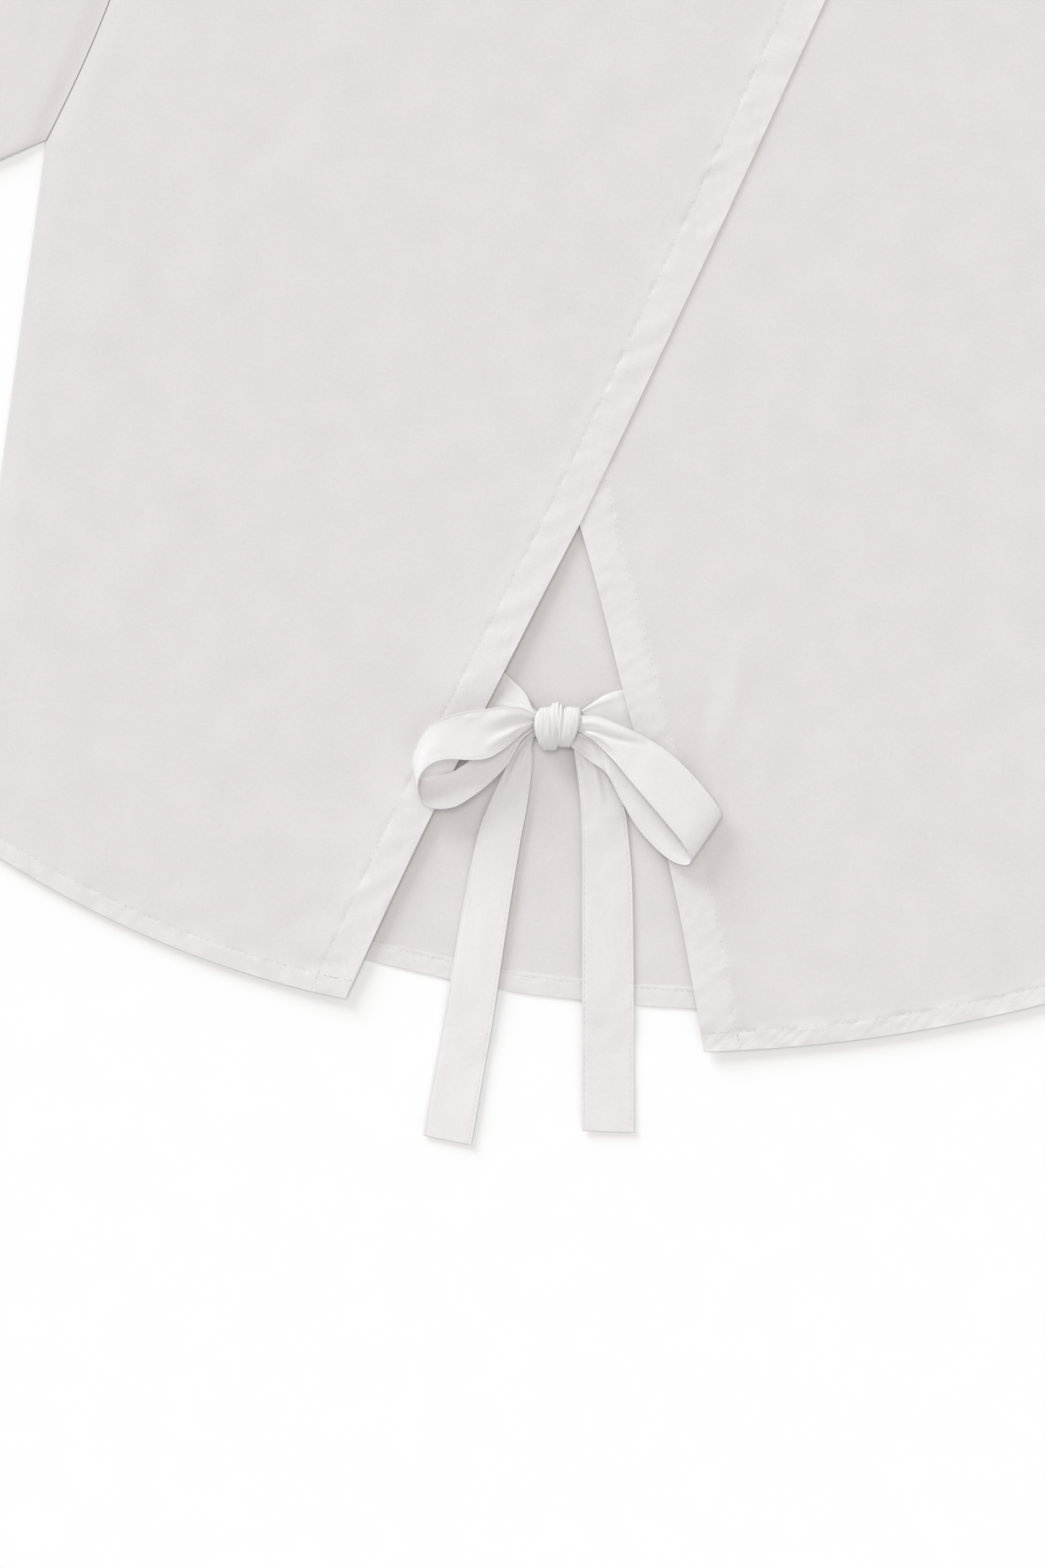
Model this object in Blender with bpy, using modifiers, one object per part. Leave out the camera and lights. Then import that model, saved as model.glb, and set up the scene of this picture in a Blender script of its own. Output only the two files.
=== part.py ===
"""Tie-front shirt in white poplin, laid flat with its back on the surface.

The two fronts cross on the centre line. Above the crossing the front on the -X side lies over the other one,
and below it they open in an inverted V over the inside of the back. Two ties, sewn behind the front edges,
meet in a bow in that opening. +Y runs from hem to neck, +Z is up, and the back rests on z = 0.

Lengths are in millimetres and are turned into metres where points are placed. A name with _Y gives a place
along Y from the crossing of the fronts, unless it says otherwise.
"""

import math
from collections import namedtuple

import bmesh
import bpy
from mathutils import Vector

MM = 0.001

# Cloth
WALL = 1.0  # one layer of cloth
DOUBLED = 1.3  # a turned hem or a faced edge
SEAM_GAP = 0.3
RAMP = 1.5  # over which a doubled edge steps down to one layer
HEM_DEPTH = 10.0
BAND_WIDTH = 18.0

# Body, with the fronts' crossing at the middle of X
CROSSING_FROM_ORIGIN_Y = -72.8  # puts the origin at the middle of the part's box
NECK_POINT_Y = 446.0
NECK_HALF = 100.0
FRONT_NECK_DROP = 110.0
BACK_NECK_DROP = 20.0
NECKBAND_WIDTH = 12.0
NECKBAND_HEIGHT = 2.6  # at the middle of the front
SHOULDER_HALF = 240.0
SHOULDER_DROP = 50.0
UNDERARM_HALF = 278.0
UNDERARM_DROP = 290.0
ARMHOLE_HOLLOW = 16.0  # how far the armhole curves in from a straight line
ARMHOLE_EASE = 0.35  # how much less of it is left at the shoulder
SIDE_HALF = 285.0  # at the hem
SIDE_FOOT_Y = {-1: -180.0, 1: -191.0}
BACK_HEM_Y = -228.8  # on the centre line

# Front edges. Above the crossing an edge is this far from the centre line, as LEAN * rise + LEAN_EASE * rise ** 2
EDGE_LEAN = 0.349
EDGE_LEAN_EASE = -4.5e-5
HEM_START_SLOPE = 0.10  # of the front hem where it leaves the front corner

Front = namedtuple("Front", "side foot_x foot_y bulge lifts_below")
UPPER = Front(side=-1, foot_x=86.7, foot_y=-241.0, bulge=2.5, lifts_below=30.0)
UNDER = Front(side=1, foot_x=88.3, foot_y=-246.8, bulge=5.5, lifts_below=0.0)

# Heights of undersides
LOFT = 0.5  # of a front away from its seams
LOFT_REACH = 40.0
EDGE_LIFT = 2.2  # of a front's open edge at the height of the bow, where the ties hold it up
EDGE_LIFT_REACH = 45.0  # in from the edge
EDGE_LIFT_KEPT = 0.4  # the share of it that is left at the hem
OVERLAP_LIFT = 1.75  # of the upper front, where the under front is beneath it
OVERLAP_RAMP = 40.0

# Points along each outline, the grid that cuts the panels, and how near to a point or a line counts as on it
HEM_POINTS = 12
EDGE_POINTS = 20
ARMHOLE_POINTS = 8
NECK_POINTS = 24
GRID_STEP = 30.0
GRID_LINES = 16
ON_LINE = 0.2
SAME_POINT = 0.01
SETTLING_STEPS = 20  # to find where two outline curves meet

# Sleeves
SLEEVE_LENGTH = 560.0
SLEEVE_FALL = math.radians(38.0)  # below the X axis
CUFF_WIDTH = 115.0
SLEEVE_HEIGHT = 3.0  # laid flat, outside
SLEEVE_SIDE_POINTS = 4  # round each folded side
SLEEVE_ROWS = 5
SLEEVE_GAP = 0.5  # from the armhole, along the sleeve

# Bow
BOW_Y = -98.3
BOW_TURN = math.radians(6.5)
KNOT_HALF = Vector((11.3, 11.5, 6.2))
KNOT_HEIGHT = 7.7
KNOT_SQUARENESS = 6.0  # the power that shapes its ends
KNOT_RINGS = 26
KNOT_SEGMENTS = 20
KNOT_CREASE = 0.14  # its depth, as a share of the knot's half height
KNOT_CREASE_PLACE = 0.08  # along X, as are its width and the knot's half length
KNOT_CREASE_WIDTH = 0.16
TIE_WALL = 1.0
PLEAT_RISE = 6.75  # makes the highest point of share * (1 - share) ** 2 equal to 1
NORMAL_STEP = 0.01  # of a stretch's length

# One row for each section of a tie, in the bow's own frame: its two edges. The near edge is the one towards the
# hem on a root or a loop, and towards the centre line on a tail.
Section = namedtuple("Section", "near_x near_y near_z far_x far_y far_z")

LEFT_LOOP = [
    Section(-11.7, 0.2, 10.4, -11.7, 6.4, 11.4),
    Section(-18.4, -4.9, 12.5, -17.7, 9.1, 13.0),
    Section(-24.7, -10.5, 15.5, -24.7, 9.3, 13.6),
    Section(-33.4, -14.7, 19.0, -35.2, 8.3, 14.0),
    Section(-42.2, -15.6, 21.5, -45.7, 6.7, 14.0),
    Section(-52.0, -15.9, 22.8, -55.5, 3.5, 13.6),
    Section(-59.4, -17.7, 22.8, -63.4, -2.3, 12.6),
    Section(-64.9, -22.6, 21.6, -68.6, -12.4, 10.8),
    Section(-67.1, -30.1, 19.0, -69.6, -20.6, 8.6),
    Section(-65.0, -37.2, 15.8, -66.7, -25.2, 7.0),
    Section(-58.3, -40.0, 13.2, -59.9, -24.2, 6.5),
    Section(-49.2, -39.0, 11.6, -50.9, -22.4, 6.4),
    Section(-39.7, -33.3, 10.6, -42.2, -16.8, 6.4),
    Section(-30.6, -23.8, 9.6, -33.1, -9.8, 6.4),
    Section(-22.9, -12.6, 8.6, -24.7, -3.5, 6.5),
    Section(-17.0, -4.4, 8.2, -17.7, 1.0, 6.9),
    Section(-11.7, -2.2, 8.3, -11.7, 1.6, 7.9),
]

RIGHT_LOOP = [
    Section(11.7, -3.0, 10.2, 11.7, 5.6, 11.4),
    Section(18.2, -4.4, 11.4, 19.4, 4.9, 13.0),
    Section(25.0, -9.5, 12.8, 27.8, 1.9, 14.0),
    Section(28.7, -16.8, 14.2, 35.5, -1.8, 14.0),
    Section(33.4, -24.2, 15.4, 43.9, -6.2, 13.6),
    Section(41.1, -33.3, 16.4, 54.1, -13.0, 13.0),
    Section(50.6, -44.5, 17.0, 64.6, -22.8, 12.6),
    Section(59.3, -55.0, 16.6, 74.0, -34.0, 11.8),
    Section(63.3, -61.6, 15.2, 78.4, -40.6, 10.4),
    Section(64.0, -65.8, 12.9, 78.7, -44.3, 8.4),
    Section(61.6, -67.2, 10.8, 75.0, -45.5, 7.0),
    Section(55.4, -65.2, 9.4, 68.2, -43.0, 6.5),
    Section(47.1, -58.5, 8.6, 59.7, -35.7, 6.4),
    Section(38.3, -48.3, 8.2, 50.6, -26.6, 6.4),
    Section(30.6, -35.4, 7.8, 41.1, -16.8, 6.4),
    Section(24.3, -21.4, 7.6, 32.0, -8.4, 6.5),
    Section(18.7, -10.5, 7.6, 22.9, -3.2, 6.7),
    Section(11.7, -5.6, 7.6, 11.7, -1.8, 7.6),
]

LEFT_TAIL = [
    Section(-11.8, -6.6, 6.2, -16.6, -7.6, 6.0),
    Section(-12.2, -14.7, 4.8, -22.2, -14.7, 4.4),
    Section(-12.6, -24.9, 3.7, -26.8, -24.9, 3.4),
    Section(-14.9, -41.3, 3.2, -34.3, -41.3, 3.2),
    Section(-17.4, -54.5, 3.1, -38.7, -53.9, 3.0),
    Section(-22.6, -86.1, 2.9, -45.3, -86.1, 2.7),
    Section(-28.4, -125.0, 2.2, -51.8, -124.0, 2.2),
    Section(-31.6, -146.0, 1.6, -55.2, -143.0, 1.8),
    Section(-35.5, -168.0, 0.9, -59.2, -165.0, 0.9),
    Section(-41.5, -203.0, 0.8, -64.9, -198.3, 0.8),
]

RIGHT_TAIL = [
    Section(8.2, -11.3, 5.4, 14.6, -9.2, 5.6),
    Section(9.0, -17.5, 4.6, 20.1, -15.4, 4.3),
    Section(10.3, -26.6, 3.6, 26.1, -25.4, 3.4),
    Section(11.7, -40.6, 3.0, 32.7, -39.9, 3.0),
    Section(12.1, -54.6, 2.8, 34.8, -54.6, 2.8),
    Section(12.2, -79.1, 2.5, 36.6, -79.1, 2.5),
    Section(12.2, -125.0, 2.2, 37.3, -125.0, 2.2),
    Section(12.2, -146.0, 1.4, 37.3, -146.0, 1.4),
    Section(12.1, -166.6, 0.9, 37.3, -166.6, 0.9),
    Section(12.1, -196.0, 0.8, 37.3, -197.0, 0.8),
]

LEFT_ROOT = [
    Section(-43.6, 6.0, 2.8, -32.0, 29.4, 2.8),
    Section(-37.3, 2.8, 2.8, -25.7, 26.3, 2.8),
    Section(-28.2, 1.8, 3.2, -20.5, 21.4, 3.5),
    Section(-20.5, 2.2, 4.4, -15.2, 15.8, 5.0),
    Section(-11.7, 3.4, 5.9, -11.7, 8.8, 6.6),
]

RIGHT_ROOT = [
    Section(44.3, -1.4, 2.8, 38.3, 20.7, 2.8),
    Section(37.6, -3.2, 2.8, 31.7, 18.9, 2.8),
    Section(29.9, -2.8, 3.1, 26.1, 17.5, 3.4),
    Section(21.9, -0.7, 4.0, 20.1, 14.4, 4.3),
    Section(11.7, 2.0, 6.0, 11.7, 8.0, 6.4),
]

# One row for each pleat that fans out from the knot. Its place across the tie goes from at_knot to fanned, with 0
# on the near edge and 1 on the far one, over reach of the stretch, which is counted from the stretch's last
# section where it is negative. Height is along the cloth's normal, and width is a share of the tie's.
Pleat = namedtuple("Pleat", "at_knot fanned reach height width")

LEFT_LOOP_PLEATS = [
    Pleat(0.84, 0.88, 0.30, 0.7, 0.12),
    Pleat(0.60, 0.70, 0.36, -1.0, 0.12),
    Pleat(0.40, 0.46, 0.34, 0.9, 0.12),
    Pleat(0.22, 0.24, 0.26, -0.7, 0.10),
    Pleat(0.25, 0.22, -0.30, 0.6, 0.14),
    Pleat(0.60, 0.55, -0.22, -0.6, 0.16),
]

RIGHT_LOOP_PLEATS = [
    Pleat(0.86, 0.90, 0.34, 0.8, 0.14),
    Pleat(0.56, 0.72, 0.40, -1.2, 0.13),
    Pleat(0.36, 0.42, 0.36, 0.9, 0.12),
    Pleat(0.16, 0.20, 0.26, -0.7, 0.11),
    Pleat(0.30, 0.28, -0.30, 0.5, 0.16),
]

LEFT_TAIL_PLEATS = [
    Pleat(0.20, 0.12, 0.30, 0.6, 0.14),
    Pleat(0.40, 0.36, 0.40, -1.0, 0.16),
    Pleat(0.68, 0.66, 0.36, 0.7, 0.16),
]

RIGHT_TAIL_PLEATS = [
    Pleat(0.26, 0.20, 0.30, 0.7, 0.14),
    Pleat(0.52, 0.46, 0.36, -0.8, 0.15),
    Pleat(0.76, 0.74, 0.34, 0.6, 0.15),
]

Tie = namedtuple("Tie", "name sections pleats across along")
TIES = [
    Tie("tie_left_root", LEFT_ROOT, [], 4, 8),
    Tie("tie_left_loop", LEFT_LOOP, LEFT_LOOP_PLEATS, 10, 40),
    Tie("tie_left_tail", LEFT_TAIL, LEFT_TAIL_PLEATS, 8, 24),
    Tie("tie_right_root", RIGHT_ROOT, [], 4, 8),
    Tie("tie_right_loop", RIGHT_LOOP, RIGHT_LOOP_PLEATS, 10, 42),
    Tie("tie_right_tail", RIGHT_TAIL, RIGHT_TAIL_PLEATS, 8, 24),
]

WHITE_COTTON = (0.86, 0.85, 0.84, 1.0)
COTTON_ROUGHNESS = 0.85


def clear_scene():
    for thing in list(bpy.data.objects):
        bpy.data.objects.remove(thing, do_unlink=True)


def cotton(name):
    material = bpy.data.materials.new(name)
    material.use_nodes = True
    shader = material.node_tree.nodes["Principled BSDF"]
    shader.inputs["Base Color"].default_value = WHITE_COTTON
    shader.inputs["Roughness"].default_value = COTTON_ROUGHNESS
    shader.inputs["Metallic"].default_value = 0.0
    return material


def collection(name):
    made = bpy.data.collections.new(name)
    bpy.context.scene.collection.children.link(made)
    return made


def frame_empty(name, parent, location, turn, home):
    empty = bpy.data.objects.new(name, None)
    empty.parent = parent
    empty.location = Vector(location) * MM
    empty.rotation_euler.z = turn
    home.objects.link(empty)
    return empty


def piece_of(name, surface, parent):
    """An object from a bmesh, in its parent's frame and collection, with a material of its own."""
    mesh = bpy.data.meshes.new(name)
    surface.to_mesh(mesh)
    surface.free()
    mesh.materials.append(cotton(name + "_cotton"))
    piece = bpy.data.objects.new(name, mesh)
    piece.parent = parent
    parent.users_collection[0].objects.link(piece)
    return piece


def walled(name, surface, parent, wall, offset=1.0, doubled=False):
    """A piece with a wall from Solidify. A doubled one has the doubled wall where its points' weight is full."""
    piece = piece_of(name, surface, parent)
    solidify = piece.modifiers.new("wall", "SOLIDIFY")
    solidify.thickness = wall * MM
    solidify.offset = offset
    solidify.use_even_offset = True
    if doubled:
        turned = piece.vertex_groups.new(name="turned")
        solidify.thickness = DOUBLED * MM
        solidify.vertex_group = turned.name
        solidify.thickness_vertex_group = WALL / DOUBLED
    return piece


def cloth(name, columns, rows, place, parent, wall, offset, closed=False):
    """A grid of cloth whose point in column i and row j goes to place(i, j). A closed one is joined round."""
    grid = bmesh.new()
    bmesh.ops.create_grid(grid, x_segments=columns, y_segments=rows, size=0.5)
    for vertex in grid.verts:
        i = round((vertex.co.x + 0.5) * columns)
        j = round((vertex.co.y + 0.5) * rows)
        vertex.co = Vector(place(i, j)) * MM
    if closed:
        bmesh.ops.remove_doubles(grid, verts=grid.verts, dist=SAME_POINT * MM)
    return walled(name, grid, parent, wall, offset)


def flat_panel(name, turned_lines, rest, height, grid_lines, parent):
    """A panel from its outline. turned_lines are its turned edge, the line where the turning ends and the line
    where the cloth is single again. The rest of the outline closes the last line. A square grid cuts the panel,
    and height(x, y) then gives each point's Z."""
    panel = bmesh.new()
    weights = panel.verts.layers.deform.verify()
    rows = []
    for line, weight in zip(turned_lines, (1.0, 1.0, 0.0)):
        rows.append([panel.verts.new((*point, 0.0)) for point in line])
        for vertex in rows[-1]:
            vertex[weights][0] = weight
    for outer, inner in zip(rows, rows[1:]):
        for k in range(len(outer) - 1):
            panel.faces.new((outer[k], outer[k + 1], inner[k + 1], inner[k]))
    panel.faces.new(rows[-1] + [panel.verts.new((*point, 0.0)) for point in rest])
    for normal in ((1.0, 0.0, 0.0), (0.0, 1.0, 0.0)):
        for k in range(-grid_lines, grid_lines):
            place = Vector(normal) * ((k + 0.5) * GRID_STEP)
            everything = panel.verts[:] + panel.edges[:] + panel.faces[:]
            bmesh.ops.bisect_plane(panel, geom=everything, dist=ON_LINE, plane_co=place, plane_no=normal)
    for vertex in panel.verts:
        x, y, _ = vertex.co
        vertex.co = Vector((x, y, height(x, y))) * MM
    for face in panel.faces:
        face.normal_update()
        if face.normal.z < 0.0:
            face.normal_flip()
    return walled(name, panel, parent, WALL, doubled=True)


def smooth_step(share):
    share = min(1.0, max(0.0, share))
    return share * share * (3.0 - 2.0 * share)


def between(a, b, share):
    return a + (b - a) * share


def spread(a, b, count):
    """That many steps from a to b, both ends in."""
    return [between(a, b, k / count) for k in range(count + 1)]


def shoulder_y(x):
    """The shoulder line at x, from the crossing."""
    slope = SHOULDER_DROP / (SHOULDER_HALF - NECK_HALF)
    return NECK_POINT_Y - slope * (abs(x) - NECK_HALF)


def neckline(share, drop, side):
    """A point on a neckline that hangs by drop, from the neck point on side to the other one."""
    angle = math.pi * share
    return Vector((side * NECK_HALF * math.cos(angle), NECK_POINT_Y - drop * math.sin(angle)))


def armhole(side, share):
    """From the underarm to the shoulder tip."""
    low = Vector((side * UNDERARM_HALF, NECK_POINT_Y - UNDERARM_DROP))
    high = Vector((side * SHOULDER_HALF, NECK_POINT_Y - SHOULDER_DROP))
    inward = -side * ARMHOLE_HOLLOW * math.sin(math.pi * share) * (1.0 - ARMHOLE_EASE * share)
    return between(low, high, share) + Vector((inward, 0.0))


def edge_x(front, y):
    """The front edge's place in X at a height y from the crossing."""
    if y >= 0.0:
        return -front.side * (EDGE_LEAN * y + EDGE_LEAN_EASE * y * y)
    share = y / front.foot_y
    return front.side * (front.foot_x * share + front.bulge * math.sin(math.pi * share))


def front_hem_y(front, x):
    """The front hem, which starts nearly level at the front corner and curves up to the side seam."""
    run = SIDE_HALF - front.foot_x
    rise = SIDE_FOOT_Y[front.side] - front.foot_y
    curve = (rise - HEM_START_SLOPE * run) / run**2
    out = abs(x) - front.foot_x
    return front.foot_y + HEM_START_SLOPE * out + curve * out * out


def back_hem_y(x):
    mean_rise = (SIDE_FOOT_Y[-1] + SIDE_FOOT_Y[1]) / 2 - BACK_HEM_Y
    tilt = (SIDE_FOOT_Y[1] - SIDE_FOOT_Y[-1]) / (2 * SIDE_HALF)
    return BACK_HEM_Y + tilt * x + mean_rise * (x / SIDE_HALF) ** 2


def front_turned_line(front, hem_inset, edge_inset):
    """The front's hem and front edge as one line, this far inside the cloth's edge, from side to shoulder."""
    corner_y, top_y = front.foot_y, NECK_POINT_Y

    def x_at(y):
        return edge_x(front, y) + front.side * edge_inset * math.hypot(1.0, EDGE_LEAN)

    for _ in range(SETTLING_STEPS):
        corner_y = front_hem_y(front, x_at(corner_y)) + hem_inset
        top_y = shoulder_y(x_at(top_y))
    hem = spread(front.side * SIDE_HALF, x_at(corner_y), HEM_POINTS)
    line = [Vector((x, front_hem_y(front, x) + hem_inset)) for x in hem]
    return line + [Vector((x_at(y), y)) for y in spread(corner_y, top_y, EDGE_POINTS)[1:]]


def edge_lift(front, x, y):
    """How far a front is raised along its open edge, most at the height of the bow and least at both ends."""
    inside = front.side * (x - edge_x(front, y))
    from_top = (front.lifts_below - y) / (front.lifts_below - BOW_Y)
    from_bow = (BOW_Y - y) / (BOW_Y - front.foot_y)
    along = smooth_step(from_top) * between(1.0, EDGE_LIFT_KEPT, smooth_step(from_bow))
    return EDGE_LIFT * along * smooth_step(1.0 - inside / EDGE_LIFT_REACH)


def overlap_lift(x, y):
    """How far the upper front is raised to pass over the under one."""
    inside_under = x - edge_x(UNDER, y)
    return OVERLAP_LIFT * smooth_step(1.0 + inside_under / OVERLAP_RAMP)


def front_bed(x, y):
    """The height of a front over the back alone: least at the seams, and over the back's hem."""
    from_seam = min(SIDE_HALF - abs(x), shoulder_y(x) - y)
    bed = WALL + SEAM_GAP + LOFT * smooth_step(from_seam / LOFT_REACH)
    over_hem = (DOUBLED + SEAM_GAP) * (y < back_hem_y(x) + 2.0 * GRID_STEP)
    return max(bed, over_hem)


def front_panel(name, front, parent):
    side = front.side

    def height(x, y):
        over_under = overlap_lift(x, y) if front is UPPER else 0.0
        return front_bed(x, y) + max(edge_lift(front, x, y), over_under)

    lines = [
        front_turned_line(front, hem_inset, edge_inset)
        for hem_inset, edge_inset in (
            (0.0, 0.0),
            (HEM_DEPTH, BAND_WIDTH),
            (HEM_DEPTH + RAMP, BAND_WIDTH + RAMP),
        )
    ]
    rest = [neckline(share, FRONT_NECK_DROP, -side) for share in spread(0.0, 1.0, NECK_POINTS)]
    rest += [armhole(side, share) for share in spread(1.0, 0.0, ARMHOLE_POINTS)]
    return flat_panel(name, lines, rest, height, GRID_LINES, parent)


def back_panel(parent):
    across = spread(-SIDE_HALF, SIDE_HALF, 2 * HEM_POINTS)
    insets = (0.0, HEM_DEPTH, HEM_DEPTH + RAMP)
    lines = [[Vector((x, back_hem_y(x) + inset)) for x in across] for inset in insets]
    rest = [armhole(1, share) for share in spread(0.0, 1.0, ARMHOLE_POINTS)]
    rest += [neckline(share, BACK_NECK_DROP, 1) for share in spread(0.0, 1.0, NECK_POINTS)]
    rest += [armhole(-1, share) for share in spread(1.0, 0.0, ARMHOLE_POINTS)]
    return flat_panel("back", lines, rest, lambda x, y: 0.0, 0, parent)


def neckband(name, drop, seam_height, middle_height, parent):
    """The half of the neckband that finishes a neckline of that drop, inside the panel's edge."""
    slope = SHOULDER_DROP / (SHOULDER_HALF - NECK_HALF)

    def place(i, j):
        share = i / NECK_POINTS
        edge = neckline(share, drop, -1)
        inward = (SEAM_GAP, NECKBAND_WIDTH)[j]
        x = edge.x * (1.0 - inward / NECK_HALF)
        down = (NECK_POINT_Y - edge.y) * (1.0 - inward / drop)
        y = NECK_POINT_Y - down + slope * inward * abs(math.cos(math.pi * share))
        return x, y, between(seam_height, middle_height, math.sin(math.pi * share))

    return cloth(name, NECK_POINTS, 1, place, parent, WALL, 1.0)


def sleeve_profile():
    """Round a flattened tube: how far across it is, how far in from its two folds, and its height.

    It runs along the top from the shoulder fold, round the underarm fold, and back along the bottom.
    """
    radius = (SLEEVE_HEIGHT - WALL) / 2
    turn = [math.pi * k / SLEEVE_SIDE_POINTS for k in range(1, SLEEVE_SIDE_POINTS)]
    top = [(share, between(1.0, -1.0, share), 1.0) for share in spread(0.0, 1.0, ARMHOLE_POINTS)]
    underarm = [(1.0, math.sin(angle) - 1.0, math.cos(angle)) for angle in turn]
    bottom = [(across, inset, -z) for across, inset, z in reversed(top)]
    shoulder = [(0.0, 1.0 - math.sin(angle), -math.cos(angle)) for angle in turn]
    profile = top + underarm + bottom + shoulder + top[:1]
    return [(across, radius * inset, radius * z + SLEEVE_HEIGHT / 2) for across, inset, z in profile]


def sleeve(name, side, parent):
    along = Vector((side * math.cos(SLEEVE_FALL), -math.sin(SLEEVE_FALL)))
    inward = Vector((-side * math.sin(SLEEVE_FALL), -math.cos(SLEEVE_FALL)))
    top_end = armhole(side, 1.0) + along * SLEEVE_LENGTH
    profile = sleeve_profile()
    cap_width = (armhole(side, 1.0) - armhole(side, 0.0)).length

    def place(i, j):
        across, inset, z = profile[i]
        cap = armhole(side, 1.0 - across - inset / cap_width) + along * SLEEVE_GAP
        cuff = top_end + inward * (CUFF_WIDTH * across + inset)
        x, y = between(cap, cuff, j / SLEEVE_ROWS)
        return x, y, z

    return cloth(name, len(profile) - 1, SLEEVE_ROWS, place, parent, WALL, 0.0, closed=True)


def section_at(sections, share):
    """The section a share of the way along, on a smooth curve through the rows."""
    place = share * (len(sections) - 1)
    k = min(int(place), len(sections) - 2)
    f = place - k
    rows = [sections[min(max(k + step, 0), len(sections) - 1)] for step in (-1, 0, 1, 2)]
    made = []
    for a, b, c, d in zip(*rows):
        made.append(
            b + 0.5 * f * (c - a + f * (2 * a - 5 * b + 4 * c - d + f * (3 * (b - c) + d - a)))
        )
    return Section(*made)


def pleat_height(pleats, share, across):
    """How far the pleats move the cloth along its normal, a share of the way along the stretch."""
    height = 0.0
    for pleat in pleats:
        along = (share if pleat.reach > 0.0 else 1.0 - share) / abs(pleat.reach)
        if along < 1.0:
            rise = PLEAT_RISE * along * (1.0 - along) ** 2
            aside = (across - between(pleat.at_knot, pleat.fanned, along)) / pleat.width
            height += pleat.height * rise * math.exp(-aside * aside)
    return height


def tie_stretch(tie, parent):
    def edges(share):
        s = section_at(tie.sections, min(1.0, max(0.0, share)))
        return Vector((s.near_x, s.near_y, s.near_z)), Vector((s.far_x, s.far_y, s.far_z))

    def place(i, j):
        share, across = j / tie.along, i / tie.across
        near, far = edges(share)
        step = between(*edges(share + NORMAL_STEP), across) - between(*edges(share - NORMAL_STEP), across)
        normal = step.cross(far - near).normalized()
        return between(near, far, across) + normal * pleat_height(tie.pleats, share, across)

    return cloth(tie.name, tie.across, tie.along, place, parent, TIE_WALL, 0.0)


def knot(parent):
    """The wrap at the middle of the bow: a squared barrel along X, with a crease round it.

    The rings of a sphere become its rings, closer to each other near its two ends.
    """
    ball = bmesh.new()
    bmesh.ops.create_uvsphere(ball, u_segments=KNOT_SEGMENTS, v_segments=KNOT_RINGS, radius=1.0)
    for vertex in ball.verts:
        turn = math.asin(min(1.0, max(-1.0, vertex.co.z))) / (math.pi / 2)
        x = turn * (3.0 - turn * turn) / 2.0
        angle = math.atan2(vertex.co.y, vertex.co.x)
        crease = KNOT_CREASE * math.exp(-(((x - KNOT_CREASE_PLACE) / KNOT_CREASE_WIDTH) ** 2))
        radius = math.sqrt(1.0 - abs(turn) ** KNOT_SQUARENESS) - crease
        y = KNOT_HALF.y * radius * math.cos(angle)
        z = KNOT_HALF.z * radius * math.sin(angle)
        vertex.co = Vector((KNOT_HALF.x * x, y, z + KNOT_HEIGHT)) * MM
    piece_of("knot", ball, parent).data.shade_smooth()


def build():
    clear_scene()
    home = collection("tie_front_shirt")
    garment = frame_empty("garment", None, (0.0, CROSSING_FROM_ORIGIN_Y, 0.0), 0.0, home)
    bow = frame_empty("bow", garment, (0.0, BOW_Y, 0.0), BOW_TURN, home)
    back_panel(garment)
    front_panel("front_upper", UPPER, garment)
    front_panel("front_under", UNDER, garment)
    neckband("neckband_back", BACK_NECK_DROP, 0.0, 0.0, garment)
    neckband("neckband_front", FRONT_NECK_DROP, WALL + SEAM_GAP, NECKBAND_HEIGHT, garment)
    sleeve("sleeve_left", -1, garment)
    sleeve("sleeve_right", 1, garment)
    for tie in TIES:
        tie_stretch(tie, bow)
    knot(bow)


build()
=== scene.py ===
"""The looks of the tie-front shirt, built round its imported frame.

Every cloth piece is a thin closed shell on the form of its solid, with its hems, facings, creases, folds and
stitches. Lengths are in millimetres, and become metres where points are placed. The garment's frame has its
origin where the two fronts cross, +Y towards the neck and +Z up. The bow has a frame of its own, turned a
little, whose X and Y lie along the picture's.
"""

from collections import namedtuple
from math import cos, exp, hypot, pi, radians, sin, sqrt, tau

import bmesh
import bpy
from mathutils import Matrix, Vector, geometry, kdtree, noise


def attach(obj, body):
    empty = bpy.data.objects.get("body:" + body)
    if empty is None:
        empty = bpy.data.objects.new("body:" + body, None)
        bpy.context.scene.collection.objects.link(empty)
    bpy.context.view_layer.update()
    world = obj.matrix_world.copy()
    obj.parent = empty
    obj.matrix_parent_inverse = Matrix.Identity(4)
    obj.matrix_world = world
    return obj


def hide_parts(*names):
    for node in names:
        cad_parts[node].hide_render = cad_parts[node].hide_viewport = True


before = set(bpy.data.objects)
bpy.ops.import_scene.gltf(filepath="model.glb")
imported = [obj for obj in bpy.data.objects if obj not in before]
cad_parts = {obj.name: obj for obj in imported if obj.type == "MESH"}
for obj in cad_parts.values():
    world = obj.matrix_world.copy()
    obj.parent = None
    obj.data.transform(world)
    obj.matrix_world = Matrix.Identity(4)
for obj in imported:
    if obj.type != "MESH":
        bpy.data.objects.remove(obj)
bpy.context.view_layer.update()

MM = 0.001
CROSSING_FROM_ORIGIN_Y = -72.8
BOW_Y = -98.3
BOW_TURN = radians(6.5)

# Cloth
LAYER = 0.3  # one layer of cloth
TURNED = 0.6  # a hem or a facing, with its turned layers
HEM_DEPTH = 10
BAND_WIDTH = 18
STEP_RUN = 2.2  # over which a hem steps down to one layer
BAND_STEP_RUN = 5  # and over which a facing does
HEM_STITCH = 9.2  # from the hem's edge
BAND_STITCH = 17  # from a front edge
GROOVE_DEPTH = 0.11
GROOVE_WIDTH = 0.55
GROUND = 0.02
EDGE_KEPT = 0.95  # how high an edge's rim lies, as a share of its thickness

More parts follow.
